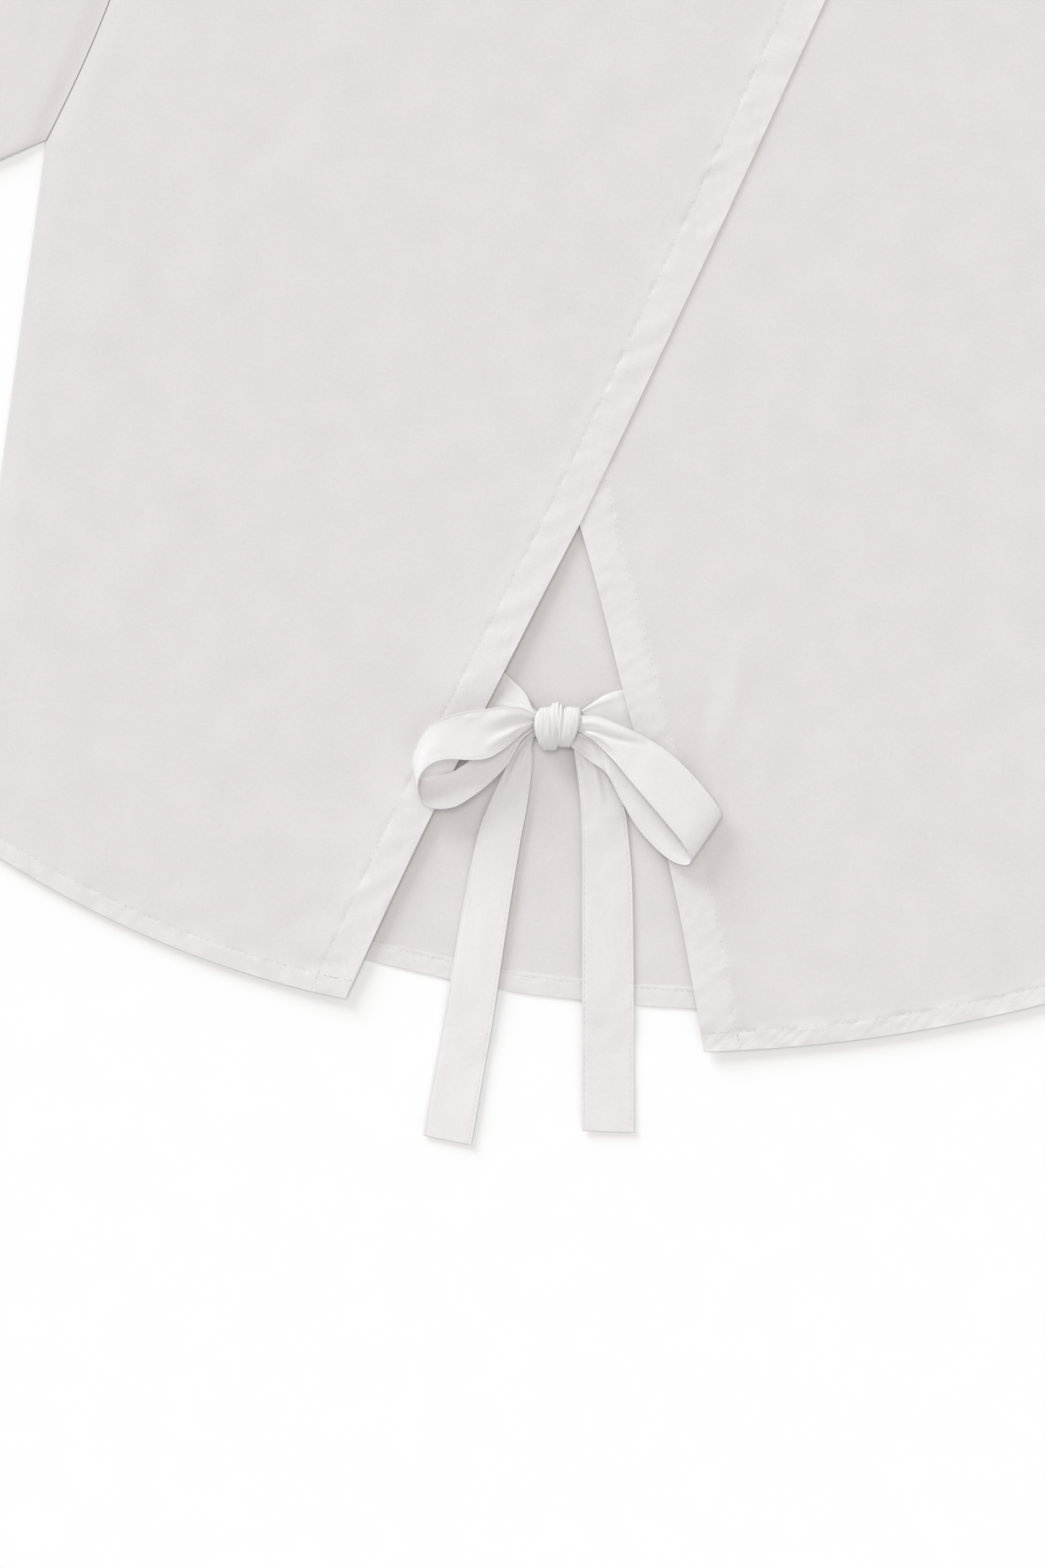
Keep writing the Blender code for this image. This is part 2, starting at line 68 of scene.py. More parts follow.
# Body
NECK_TOP_Y = 446
NECK_HALF = 100
FRONT_NECK_DROP = 110
BACK_NECK_DROP = 20
SHOULDER_HALF = 240
SHOULDER_DROP = 50
SHOULDER_SLOPE = SHOULDER_DROP / (SHOULDER_HALF - NECK_HALF)
UNDERARM_HALF = 278
UNDERARM_DROP = 290
ARMHOLE_HOLLOW = 16
ARMHOLE_EASE = 0.35
SIDE_HALF = 285
SIDE_FOOT_Y = {-1: -180, 1: -191}
BACK_HEM_Y = -228.8
BACK_HEM_CURL = 2.4  # how far the back's hem is drawn up on the left
BACK_HEM_CURL_RUN = 75
BACK_HEM_STITCH = 8.3
EDGE_LEAN = 0.349
EDGE_LEAN_EASE = -4.5e-5
EDGE_STRETCH = hypot(1, EDGE_LEAN)

# pull is how far the tie draws a front's edge towards the bow, and lifts_below where the edge starts to rise
Front = namedtuple("Front", "side foot_x foot_y hem_slope bulge pull lifts_below")
UPPER = Front(side=-1, foot_x=86.7, foot_y=-241, hem_slope=0.082, bulge=2.5, pull=0.7, lifts_below=30)
UNDER = Front(side=1, foot_x=88.6, foot_y=-246.8, hem_slope=0.138, bulge=5.5, pull=2.8, lifts_below=0)
PULL_PLACE = 0.36
PULL_WIDTH = 0.22

# Heights of the fronts
FRONT_BED = 1.6  # underside over the back
LOFT = 0.5
LOFT_REACH = 40
EDGE_LIFT = 2.2
EDGE_LIFT_REACH = 45
EDGE_LIFT_KEPT = 0.4
OVERLAP_LIFT = 0.6
OVERLAP_RAMP = 40
BACK_HEM_CLEAR = 1.9  # underside of a front over the back's hem
BACK_HEM_REACH = 60  # how far above the back's hem a front starts to rise over it
BACK_HEM_RAMP = 30
SEAM_REST = 0.75  # underside of a front where it is sewn to the back
SEAM_RUN = 9  # over which it comes down to there
CORNER_LIFT = 0.12  # of the stitches where the hem and the facing lie on each other
CLEARANCE = 0.08

# How close the points lie
EDGE_PITCH = 1.6  # along hems and facings
SEAM_PITCH = 3
SEAM_INSETS = (0.5, 1.5, 3.6)
FIELD_PITCH = 4
FIELD_CLEAR = 2.4
SETTLING_STEPS = 20
ARM_COLUMNS = 80
NECK_COLUMNS = 70
BACK_NECK_COLUMNS = 60
NECKBAND_COLUMNS = 150

# Stitches
STITCH_PITCH = 3.3
STITCH_SIZE = Vector((1.9, 0.45, 0.2))
# a hole is a small dark capsule between two stitches: painted shade for the shade inside a needle hole
HOLE_SHADE_SIZE = Vector((1.2, 0.42, 0.1))
STITCH_SIDES = 6
STITCH_RINGS = 4
STITCH_LEAN = 0.1
STITCH_UNEVEN = 0.06  # of the pitch
HEM_LINE_END = 0.6  # how near to the front edge a hem's stitches come
BAND_LINE_END = 0.8  # and how near to the hem a facing's do
CORNER_CLEAR = 0.7  # how far past the crossing of both lines they are lifted, in the corner

# Linear colours
SINGLE_COLOUR = (0.672, 0.643, 0.636)
DOUBLE_COLOUR = (0.702, 0.675, 0.668)
TIE_COLOUR = (0.728, 0.703, 0.696)
THREAD_COLOUR = (0.76, 0.75, 0.74)
# The holes' colours are painted shade, for the shade that falls into a needle hole; the faint one is lighter
HOLE_SHADE_COLOUR = (0.6, 0.575, 0.565)
FAINT_HOLE_SHADE_COLOUR = (0.64, 0.615, 0.605)
# the knot's cloth is the ties' poplin made darker: painted shade, so that the knot, which stands higher and
# faces the light more, is no brighter than the ties
KNOT_SHADED_COLOUR = (0.676, 0.655, 0.648)
TABLE_COLOUR = (0.87, 0.87, 0.87)

# Sizes in the weave, in metres, and the noise that makes it uneven
WARP_PITCH = 0.00042
WEFT_PITCH = 0.00056
SLUB_FINE = 1500  # across a slub, to a metre
SLUB_LONG = 70  # and along it
CLOUD_SIZE = 0.024
GRAIN_SIZE = 0.0019
CRUMPLE_SIZE = 0.011
GRAIN_SHARE = 0.9
SLUB_SHARE = 0.25
UNEVEN_LOW = 0.75
UNEVEN_HIGH = 1.25
MOTTLE = 0.026
TIE_MOTTLE = 0.022
KNOT_MOTTLE = 0.02
CLOTH_ROUGHNESS = (0.78, 0.94)
CLOTH_SHINE = {"Specular IOR Level": 0.25, "Sheen Weight": 0.12, "Sheen Roughness": 0.5}
THREAD_GRAIN = 3000  # to a metre
TABLE_GRAIN = 40
# Bumps: the height in metres, and the strength
CRUMPLE_BUMP = (0.0006, 0.25)
SLUB_BUMP = (0.00008, 0.3)
WEAVE_BUMP = (0.00003, 0.4)
SPECKLE_BUMP = (0.00004, 0.3)


def eased(share):
    share = min(1, max(0, share))
    return share * share * (3 - 2 * share)


def between(a, b, share):
    return a + (b - a) * share


def spread(a, b, count):
    return [between(a, b, k / count) for k in range(count + 1)]


def bell(distance, width):
    return exp(-((distance / width) ** 2))


def bumpiness(x, y, size, seed):
    """Smooth noise from about -1 to 1, with bumps of about that size."""
    return noise.noise(Vector((x / size, y / size, seed)))


def rounding(inset, thickness):
    """The share of the thickness that is there, this far inside a rounded edge."""
    out = 1 - min(1, max(0, 2 * inset / thickness))
    return sqrt(1 - out * out)


def thinned(under, over, share):
    """An underside and a top that meet at an edge, with this share of the thickness left between them."""
    edge = between(under, over, EDGE_KEPT)
    return between(edge, under, share), between(edge, over, share)


def on_garment(x, y, z):
    return Vector((x, y + CROSSING_FROM_ORIGIN_Y, z)) * MM


def turned_with_bow(direction):
    return Matrix.Rotation(BOW_TURN, 3, "Z") @ direction


def on_bow(point):
    turned = turned_with_bow(point)
    return on_garment(turned.x, turned.y + BOW_Y, turned.z)


# Materials


def new_material(name):
    material = bpy.data.materials.new(name)
    material.use_nodes = True
    return material, material.node_tree, material.node_tree.nodes["Principled BSDF"]


def set_inputs(tree, node, inputs):
    """Gives each input, by its name or number, a value or another node's output."""
    for socket, value in inputs.items():
        if isinstance(value, bpy.types.NodeSocket):
            tree.links.new(value, node.inputs[socket])
        else:
            node.inputs[socket].default_value = value


def added(tree, kind, output, inputs, operation=None):
    """An output of a new node."""
    node = tree.nodes.new("ShaderNode" + kind)
    if operation:
        node.operation = operation
    set_inputs(tree, node, inputs)
    return node.outputs[output]


def noise_at(tree, place, scale, detail):
    return added(tree, "TexNoise", "Fac", {"Vector": place, "Scale": scale, "Detail": detail})


def calculated(tree, operation, *values):
    return added(tree, "Math", "Value", dict(enumerate(values)), operation)


def ranged(tree, value, low, high, low_result, high_result):
    ends = {"From Min": low, "From Max": high, "To Min": low_result, "To Max": high_result}
    return added(tree, "MapRange", "Result", {"Value": value, **ends})


def bumped(tree, height, distance, strength, below=None):
    inputs = {"Height": height, "Distance": distance, "Strength": strength}
    if below is not None:
        inputs["Normal"] = below
    return added(tree, "Bump", "Normal", inputs)


def poplin(name, colour, mottle):
    """Plain-woven cotton: a fine warp over a coarser weft, with slubs, a faint mottle and a soft nap."""
    material, tree, shader = new_material(name)
    place = tree.nodes.new("ShaderNodeUVMap")
    place.uv_map = "cloth"
    cloth = place.outputs["UV"]
    threads = []
    for axis, pitch in (("X", WARP_PITCH), ("Y", WEFT_PITCH)):
        across = added(tree, "SeparateXYZ", axis, {"Vector": cloth})
        turns = calculated(tree, "MULTIPLY", across, tau / pitch)
        threads.append(calculated(tree, "SINE", turns))
    weave = calculated(tree, "MULTIPLY", *threads)
    slubs = []
    for scale in ((SLUB_FINE, SLUB_LONG, 1), (SLUB_LONG, SLUB_FINE, 1)):
        stretched = added(tree, "Mapping", "Vector", {"Vector": cloth, "Scale": scale})
        slubs.append(noise_at(tree, stretched, 1, 1))
    slub = calculated(tree, "MULTIPLY", *slubs)
    clouds = noise_at(tree, cloth, 1 / CLOUD_SIZE, 3)
    grain = noise_at(tree, cloth, 1 / GRAIN_SIZE, 2)
    crumple = noise_at(tree, cloth, 1 / CRUMPLE_SIZE, 4)

    uneven = calculated(tree, "ADD", clouds, calculated(tree, "MULTIPLY", grain, GRAIN_SHARE))
    uneven = calculated(tree, "ADD", uneven, calculated(tree, "MULTIPLY", slub, SLUB_SHARE))
    shade = ranged(tree, uneven, UNEVEN_LOW, UNEVEN_HIGH, 1 - mottle, 1 + mottle)
    normal = bumped(tree, crumple, *CRUMPLE_BUMP)
    normal = bumped(tree, slub, *SLUB_BUMP, normal)
    inputs = {
        "Base Color": added(tree, "VectorMath", "Vector", {0: colour, "Scale": shade}, "SCALE"),
        "Roughness": ranged(tree, grain, 0, 1, *CLOTH_ROUGHNESS),
        "Normal": bumped(tree, weave, *WEAVE_BUMP, normal),
    }
    set_inputs(tree, shader, {**CLOTH_SHINE, **inputs})
    return material


def speckled(name, colour, roughness, darker=0.9, scale=THREAD_GRAIN):
    """A plain surface with a fine grain: sewing thread, the painted shade in a needle's hole, or the table.
    """
    material, tree, shader = new_material(name)
    grain = noise_at(tree, tree.nodes.new("ShaderNodeTexCoord").outputs["Object"], scale, 1)
    ramp = tree.nodes.new("ShaderNodeValToRGB")
    ramp.color_ramp.elements[0].color = (*(darker * c for c in colour), 1)
    ramp.color_ramp.elements[1].color = (*colour, 1)
    tree.links.new(grain, ramp.inputs["Fac"])
    inputs = {
        "Base Color": ramp.outputs["Color"],
        "Roughness": roughness,
        "Specular IOR Level": 0.2,
        "Normal": bumped(tree, grain, *SPECKLE_BUMP),
    }
    set_inputs(tree, shader, inputs)
    return material


single_cloth = poplin("poplin_single", SINGLE_COLOUR, MOTTLE)
double_cloth = poplin("poplin_doubled", DOUBLE_COLOUR, MOTTLE)
tie_cloth = poplin("poplin_tie", TIE_COLOUR, TIE_MOTTLE)
# the knot's darker copy of the tie poplin is painted shade
knot_shaded_cloth = poplin("poplin_knot_shaded", KNOT_SHADED_COLOUR, KNOT_MOTTLE)
sewing_thread = speckled("sewing_thread", THREAD_COLOUR, roughness=0.6)
painted_hole_shade = speckled("painted_hole_shade", HOLE_SHADE_COLOUR, roughness=0.9)
faint_painted_hole_shade = speckled("painted_hole_shade_faint", FAINT_HOLE_SHADE_COLOUR, roughness=0.9)
table_top = speckled("table_top", TABLE_COLOUR, roughness=0.8, darker=0.99, scale=TABLE_GRAIN)


# Making pieces


def mesh_of(surface, name):
    mesh = bpy.data.meshes.new(name)
    surface.to_mesh(mesh)
    surface.free()
    return mesh


def in_scene(name, data):
    made = bpy.data.objects.new(name, data)
    bpy.context.scene.collection.objects.link(made)
    return made


def worn(name, mesh, materials, slot, nodes=()):
    """A finished piece of the garment, which replaces those nodes."""
    for material in materials:
        mesh.materials.append(material)
    mesh.shade_smooth()
    piece = in_scene(name, mesh)
    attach(piece, "root")
    if nodes:
        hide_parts(*nodes)
    return piece


def grid_faces(columns, rows, closed=False):
    """Faces of a grid whose point in column i and row j is number j * columns + i."""
    faces = []
    for j in range(rows - 1):
        for i in range(columns if closed else columns - 1):
            after = (i + 1) % columns
            here, above = j * columns, (j + 1) * columns
            faces.append((here + i, here + after, above + after, above + i))
    return faces


def grid_border(columns, rows, closed=False):
    ends = {k for i in range(columns) for k in (i, (rows - 1) * columns + i)}
    sides = set() if closed else {k for j in range(rows) for k in (j * columns, j * columns + columns - 1)}
    return ends | sides


def shell(name, skins, border, faces, cloth, doubled, look, girth=None):
    """A thin closed piece between two skins of points, which meet at the border.

    cloth gives each point's place on the flat cloth, and girth its length round a tube. doubled tells
    which faces have the second material. look is the materials, a slot that is not used, and the nodes it
    replaces.
    """
    surface = bmesh.new()
    layer = surface.loops.layers.uv.new("cloth")
    outer, inner = [], []
    for k, (a, b) in enumerate(zip(*skins)):
        if k in border:
            outer.append(surface.verts.new((a + b) / 2))
            inner.append(outer[-1])
        else:
            outer.append(surface.verts.new(a))
            inner.append(surface.verts.new(b))
    for corners in faces:
        places = [Vector(cloth[k]) for k in corners]
        if girth and max(p.x for p in places) - min(p.x for p in places) > girth / 2:
            for p in places:
                p.x += girth * (p.x < girth / 2)
        for skin in (outer, inner):
            face = surface.faces.new([skin[k] for k in corners])
            face.material_index = doubled(corners)
            for loop, p in zip(face.loops, places):
                loop[layer].uv = p * MM
    loose = [vertex for vertex in surface.verts if not vertex.link_faces]
    bmesh.ops.delete(surface, geom=loose, context="VERTS")
    bmesh.ops.recalc_face_normals(surface, faces=surface.faces)
    return worn(name, mesh_of(surface, name), *look)


def sewn_round(row, *runs):
    """The sewn part of an outline, from a row's end to its start: the runs, and straight lines between."""
    line, a = [], row[-1]
    for run in (*runs, [row[0]]):
        count = max(1, round((run[0] - a).length / SEAM_PITCH))
        line += [a.lerp(run[0], k / count) for k in range(1, count)] + run
        a = run[-1]
    return line[:-1]


def tree_of(points):
    tree = kdtree.KDTree(len(points))
    for k, p in enumerate(points):
        tree.insert(p.to_3d(), k)
    tree.balance()
    return tree


def filled(border, sewn, turn):
    """Triangles inside a closed line, with rows of points beside the part of it that is sewn.

    It gives the points, the line's first, and the triangles. turn is 1 for a line that runs anticlockwise.
    """
    free = []
    for depth in SEAM_INSETS:
        for k in sewn:
            run = (border[(k + 1) % len(border)] - border[k - 1]).normalized()
            free.append(border[k] + Vector((-run.y, run.x)) * (turn * depth))
    tree = tree_of(border)
    free = [p for p in free if tree.find(p.to_3d())[2] > 0.9 * SEAM_INSETS[0]]
    tree = tree_of(border + free)
    low = [min(p[k] for p in border) for k in (0, 1)]
    high = [max(p[k] for p in border) for k in (0, 1)]
    for j in range(int((high[1] - low[1]) / FIELD_PITCH)):
        for i in range(int((high[0] - low[0]) / FIELD_PITCH)):
            p = Vector((low[0] + FIELD_PITCH * (i + 0.5 * (j % 2)), low[1] + FIELD_PITCH * (j + 0.5)))
            if tree.find(p.to_3d())[2] > FIELD_CLEAR:
                free.append(p)
    points = border + free
    line = list(range(len(border)))[::turn]
    made = geometry.delaunay_2d_cdt(points, [], [line], 1, 1e-4)
    numbers = [min(source) if source else None for source in made[3]]
    return points, [tuple(numbers[k] for k in triangle) for triangle in made[2]]


def area_inside(line):
    """In square metres."""
    twice = sum(a.x * b.y - b.x * a.y for a, b in zip(line, line[1:] + line[:1]))
    return abs(twice) / 2 * MM * MM


def panel(node, rows, runs, height, turn):
    """A flat-laid panel, and its area. rows are lines with equal numbers of points, from its turned edge
    inwards. runs are the other parts of its outline, from the last row's end on. height(x, y) gives the
    underside, the top, and whether the cloth is turned there."""
    rest = sewn_round(rows[-1], *runs)
    columns = len(rows[0])
    head = [p for row in rows[:-1] for p in row]
    inner, triangles = filled(rows[-1] + rest, range(columns, columns + len(rest)), turn)
    points = head + inner
    faces = grid_faces(columns, len(rows))
    border = set(range(columns)) | {j * columns + i for j in range(len(rows)) for i in (0, columns - 1)}
    border |= {len(head) + columns + k for k in range(len(rest))}
    for triangle in triangles:
        corners = [len(head) + k for k in triangle]
        if border.issuperset(corners):
            points.append(sum((points[k] for k in corners), Vector((0, 0))) / 3)
            middle = len(points) - 1
            faces += [(corners[k], corners[(k + 1) % 3], middle) for k in range(3)]
        else:
            faces.append(corners)
    heights = [height(p.x, p.y) for p in points]
    tops = [on_garment(p.x, p.y, h[1]) for p, h in zip(points, heights)]
    bottoms = [on_garment(p.x, p.y, h[0]) for p, h in zip(points, heights)]

    def doubled(corners):
        return int(sum(heights[k][2] for k in corners) > len(corners) / 2)

    look = ([single_cloth, double_cloth], "poplin", [node])
    piece = shell(node + "_cloth", (tops, bottoms), border, faces, points, doubled, look)
    return piece, area_inside(rows[0] + rest)


def strip(node, along, across, place, cloth, material, slot="poplin", girth=None):
    """A strip of cloth, or a tube of it. place(s, t) gives its middle, its normal and its thickness."""
    outer, inner, flat = [], [], []
    for s in along:
        for t in across:
            middle, normal, thickness = place(s, t)
            outer.append(middle + normal * (thickness / 2 * MM))
            inner.append(middle - normal * (thickness / 2 * MM))
            flat.append(cloth(s, t))
    size = (len(across), len(along), bool(girth))
    border, faces = grid_border(*size), grid_faces(*size)
    look = ([material], slot, [node])
    return shell(node + "_cloth", (outer, inner), border, faces, flat, lambda corners: 0, look, girth)


# Stitches


def capsule(surface, centre, axes, size, material):
    """A small rounded body with its length, width and height along these axes."""
    along, aside, up = axes
    rings = []
    for ring in range(1, STITCH_RINGS):
        turn = pi * ring / STITCH_RINGS
        middle = centre - along * (size.x / 2 * cos(turn) * MM)
        points = []
        for k in range(STITCH_SIDES):
            angle = tau * k / STITCH_SIDES
            out = aside * (size.y / 2 * cos(angle)) + up * (size.z / 2 * sin(angle))
            points.append(surface.verts.new(middle + out * (sin(turn) * MM)))
        rings.append(points)
    ends = [surface.verts.new(centre + along * (sign * size.x / 2 * MM)) for sign in (-1, 1)]
    made = []
    for k in range(STITCH_SIDES):
        after = (k + 1) % STITCH_SIDES
        made.append(surface.faces.new((ends[0], rings[0][after], rings[0][k])))
        made.append(surface.faces.new((ends[1], rings[-1][k], rings[-1][after])))
        for ring, next_ring in zip(rings, rings[1:]):
            made.append(surface.faces.new((ring[k], ring[after], next_ring[after], next_ring[k])))
    for face in made:
        face.material_index = material


def stitches(sewn_to, lines, slot, faint=False):
    """Stitches, with dark capsules of painted shade for the needle holes between them, along lines of places
    with the cloth's normal at each.
    """
    surface = bmesh.new()
    for number, line in enumerate(lines):
        travelled, at, k = 0, STITCH_PITCH / 2, 0
        for (a, normal), (b, _) in zip(line, line[1:]):
            run = (b - a).length / MM
            while at <= travelled + run and run > 0:
                place = a.lerp(b, (at - travelled) / run)
                along = (b - a).normalized()
                aside = normal.cross(along).normalized()
                lean = STITCH_LEAN * bumpiness(1.7 * k, 0, 1, 5 + number)
                slanted = (along + aside * lean).normalized()
                # every second capsule is a needle hole's painted shade, in the darker material
                size = STITCH_SIZE if k % 2 == 0 else HOLE_SHADE_SIZE
                capsule(surface, place, (slanted, aside, normal), size, k % 2)
                at += STITCH_PITCH / 2 * (1 + STITCH_UNEVEN * bumpiness(2.3 * k, 0, 1, 9))
                k += 1
            travelled += run
    name = sewn_to + "_stitches"
    return worn(name, mesh_of(surface, name), [sewing_thread, faint_painted_hole_shade if faint else painted_hole_shade], slot)


def on_face(place, spots, face=1):
    """Places on one face of a strip, with the normal there."""
    made = []
    for s, t in spots:
        middle, normal, thickness = place(s, t)
        made.append((middle + normal * (face * thickness / 2 * MM), normal * face))
    return made


def laid_on(height, line, lift=lambda p: 0):
    """Places on a panel's top along a line, with the normal there, from the slope over a millimetre."""
    made = []
    for p in line:
        here = height(p.x, p.y)[1] + lift(p)
        slope_x = height(p.x + 0.5, p.y)[1] - height(p.x - 0.5, p.y)[1]
        slope_y = height(p.x, p.y + 0.5)[1] - height(p.x, p.y - 0.5)[1]
        made.append((on_garment(p.x, p.y, here), Vector((-slope_x, -slope_y, 1)).normalized()))
    return made


# The body's outlines, in the garment's frame


def shoulder_y(x):
    return NECK_TOP_Y - SHOULDER_SLOPE * (abs(x) - NECK_HALF)


def neckline(share, drop, side):
    angle = pi * share
    return Vector((side * NECK_HALF * cos(angle), NECK_TOP_Y - drop * sin(angle)))


def armhole(side, share):
    low = Vector((side * UNDERARM_HALF, NECK_TOP_Y - UNDERARM_DROP))
    high = Vector((side * SHOULDER_HALF, NECK_TOP_Y - SHOULDER_DROP))
    inward = -side * ARMHOLE_HOLLOW * sin(pi * share) * (1 - ARMHOLE_EASE * share)
    return between(low, high, share) + Vector((inward, 0))


def from_seams(side, x, y):
    """How far a place is from the nearest side seam, armhole or shoulder seam."""
    low, high = NECK_TOP_Y - UNDERARM_DROP, NECK_TOP_Y - SHOULDER_DROP
    if y < low:
        reach = between(SIDE_HALF, UNDERARM_HALF, (y - SIDE_FOOT_Y[side]) / (low - SIDE_FOOT_Y[side]))
    else:
        reach = abs(armhole(side, min(1, (y - low) / (high - low))).x)
    return min(reach - abs(x), shoulder_y(x) - y)


def edge_x(front, y):
    if y >= 0:
        return -front.side * (EDGE_LEAN * y + EDGE_LEAN_EASE * y * y)
    share = y / front.foot_y
    aside = front.bulge * sin(pi * share) - front.pull * bell(share - PULL_PLACE, PULL_WIDTH)
    return front.side * (front.foot_x * share + aside)


def front_hem_y(front, x):
    run = SIDE_HALF - front.foot_x
    rise = SIDE_FOOT_Y[front.side] - front.foot_y
    curve = (rise - front.hem_slope * run) / run**2
    out = abs(x) - front.foot_x
    return front.foot_y + front.hem_slope * out + curve * out * out


def back_hem_y(x):
    mean_rise = (SIDE_FOOT_Y[-1] + SIDE_FOOT_Y[1]) / 2 - BACK_HEM_Y
    tilt = (SIDE_FOOT_Y[1] - SIDE_FOOT_Y[-1]) / (2 * SIDE_HALF)
    curl = BACK_HEM_CURL * eased(-x / BACK_HEM_CURL_RUN)
    return BACK_HEM_Y + tilt * x + mean_rise * (x / SIDE_HALF) ** 2 + curl


def inside_edge(front, x, y):
    """How far a place is from the front edge, at right angles to it."""
    return front.side * (x - edge_x(front, y)) / EDGE_STRETCH


def x_inside(front, y, inset):
    return edge_x(front, y) + front.side * inset * EDGE_STRETCH


HEM_COLUMNS = round((SIDE_HALF - UPPER.foot_x) / EDGE_PITCH)
EDGE_COLUMNS = round((NECK_TOP_Y - UPPER.foot_y) / EDGE_PITCH)


def front_row(front, hem_inset, edge_inset):
    """The line this far inside the hem and the front edge, from the side seam to the shoulder."""
    corner_y, top_y = front.foot_y, NECK_TOP_Y
    for _ in range(SETTLING_STEPS):
        corner_y = front_hem_y(front, x_inside(front, corner_y, edge_inset)) + hem_inset
        top_y = shoulder_y(x_inside(front, top_y, edge_inset))
    hem = spread(front.side * SIDE_HALF, x_inside(front, corner_y, edge_inset), HEM_COLUMNS)
    line = [Vector((x, front_hem_y(front, x) + hem_inset)) for x in hem]
    edge = spread(corner_y, top_y, EDGE_COLUMNS)[1:]
    return line + [Vector((x_inside(front, y, edge_inset), y)) for y in edge]


# Lines along a front's turned edges: how far inside the hem, and how far inside the front edge
TURN_ROWS = [
    (0, 0), (0.12, 0.12), (0.45, 0.45), (1.4, 1.6), (3, 4.2), (5, 7.4), (7, 11), (8.3, 14.5),
    (HEM_STITCH - 0.5, BAND_STITCH - 0.5),
    (HEM_STITCH, BAND_STITCH),
    (HEM_STITCH + 0.5, BAND_STITCH + 0.5),
    (HEM_DEPTH + 0.3, BAND_WIDTH + 0.4),
    (HEM_DEPTH + STEP_RUN, BAND_WIDTH + BAND_STEP_RUN / 2),
    (15, 23),
]
BACK_HEM_ROWS = [0, 0.12, 0.45, 1.4, 3, 5, 7, 7.8, 8.3, 8.8, 9.6, 9.95, 10.15, 10.4, 11.4, 14]


# Heights of the body's panels

# Creases: the middle of each, its heading from +X in degrees, its length, width and height, and
# how far its ends bend aside
UPPER_CREASES = [
    (-150, -120, 62, 150, 9, 0.22, 6), (-205, -40, 75, 170, 12, 0.26, -8), (-120, 20, 58, 120, 10, -0.2, 5),
    (-235, 80, 66, 150, 11, 0.3, 9), (-70, 110, 72, 160, 12, 0.22, -7), (-172, 165, 52, 140, 10, -0.3, 6),
    (-225, 250, 35, 110, 9, 0.55, 8), (-190, 300, 24, 120, 8, 0.45, -6), (-120, 260, 64, 150, 12, 0.3, 5),
    (-30, 220, 70, 140, 11, -0.25, -6), (-60, 330, 55, 90, 9, 0.25, 4), (-98, -226, 12, 34, 3.6, -1.1, 1),
    (-112, -205, 38, 40, 5.5, -0.6, 2), (-160, -200, 20, 60, 6, 0.25, 3), (-230, -150, 30, 70, 7, 0.3, -4),
]

UNDER_CREASES = [
    (83, -72, 84, 84, 6, 0.7, 4), (71, -98, 96, 66, 5, -0.6, -3), (100, -115, 70, 80, 9, 0.25, 5),
    (130, -30, 108, 120, 11, -0.22, -6), (170, -95, 100, 130, 12, 0.26, 8), (215, 10, 112, 160, 12, 0.3, -7),
    (120, 90, 84, 140, 11, 0.22, 6), (230, 150, 122, 130, 10, 0.5, 8), (200, 270, 146, 120, 9, 0.55, -6),
    (150, 230, 118, 150, 12, -0.3, 7), (95, 300, 104, 110, 10, 0.25, 4), (150, -190, 8, 70, 6, 0.25, -3),
    (220, -160, 155, 80, 8, 0.3, 4),
]

BACK_CREASES = [
    (-8, -60, 88, 70, 8, 0.12, 3), (20, -170, 96, 90, 9, 0.12, -4), (-40, -190, 70, 60, 7, 0.1, 3),
    (0, 400, 4, 120, 9, 0.2, 5), (-70, 404, 160, 60, 7, 0.18, 3), (70, 402, 18, 60, 7, 0.18, -3),
]

# On a sleeve X runs from the armhole to the cuff, and Y across it from its middle towards the shoulder
SLEEVE_CREASES = [
    (44, -22, 24, 70, 7, 0.7, 6), (82, 34, -18, 90, 9, 0.6, -7), (124, -40, 32, 80, 7, 0.7, 5),
    (170, 12, -10, 110, 10, 0.5, 8), (236, -32, 22, 90, 8, 0.8, -6), (262, 20, -26, 80, 7, 0.7, 6),
    (292, -18, 30, 70, 6, 0.8, 5), (352, 14, -14, 120, 10, 0.5, -8), (430, -12, 12, 110, 9, 0.5, 7),
    (500, 18, -8, 70, 7, 0.4, -4),
]


def crease_height(creases, x, y):
    total = 0
    for middle_x, middle_y, heading, length, width, height, bend in creases:
        turn = radians(heading)
        dx, dy = x - middle_x, y - middle_y
        along = (dx * cos(turn) + dy * sin(turn)) / (length / 2)
        if abs(along) < 1:
            aside = dy * cos(turn) - dx * sin(turn) - bend * along * along
            total += height * bell(aside, width) * (1 - along * along) ** 2
    return total


BROAD_SIZE = 34
BROAD_HEIGHT = 0.16
FINE_SIZE = 12
FINE_HEIGHT = 0.04
PUCKER_SLANT = 0.8
PUCKER_SIZE = 9
PUCKER_HEIGHT = 0.8
PUCKER_START = 2  # over which the slanted ones start, from the edge
PUCKER_PAST = 3  # how far beyond the stitches they end
PUCKER_FADE = 4
PUCKER_SMALL = PUCKER_SIZE / 2.2
PUCKER_SHORT = 3.4
PUCKER_REACH = 2.2  # of the short ones, from the stitches
PUCKER_SHORT_HEIGHT = 0.14
PUCKER_RISE = 0.6  # how much of a pucker lifts the cloth
PUCKER_SWELL = 0.4  # and how much of it thickens a front
CREASE_CALM = 22  # creases are lower this near to a front's edge
CREASE_AT_EDGE = 0.35
BACK_RISE = 0.06
BACK_RELIEF = 0.5  # of the fronts' relief
BACK_STEP_END = 0.25  # where the back's hem has stepped down, past its turned cloth
BACK_STEP_RUN = 0.3


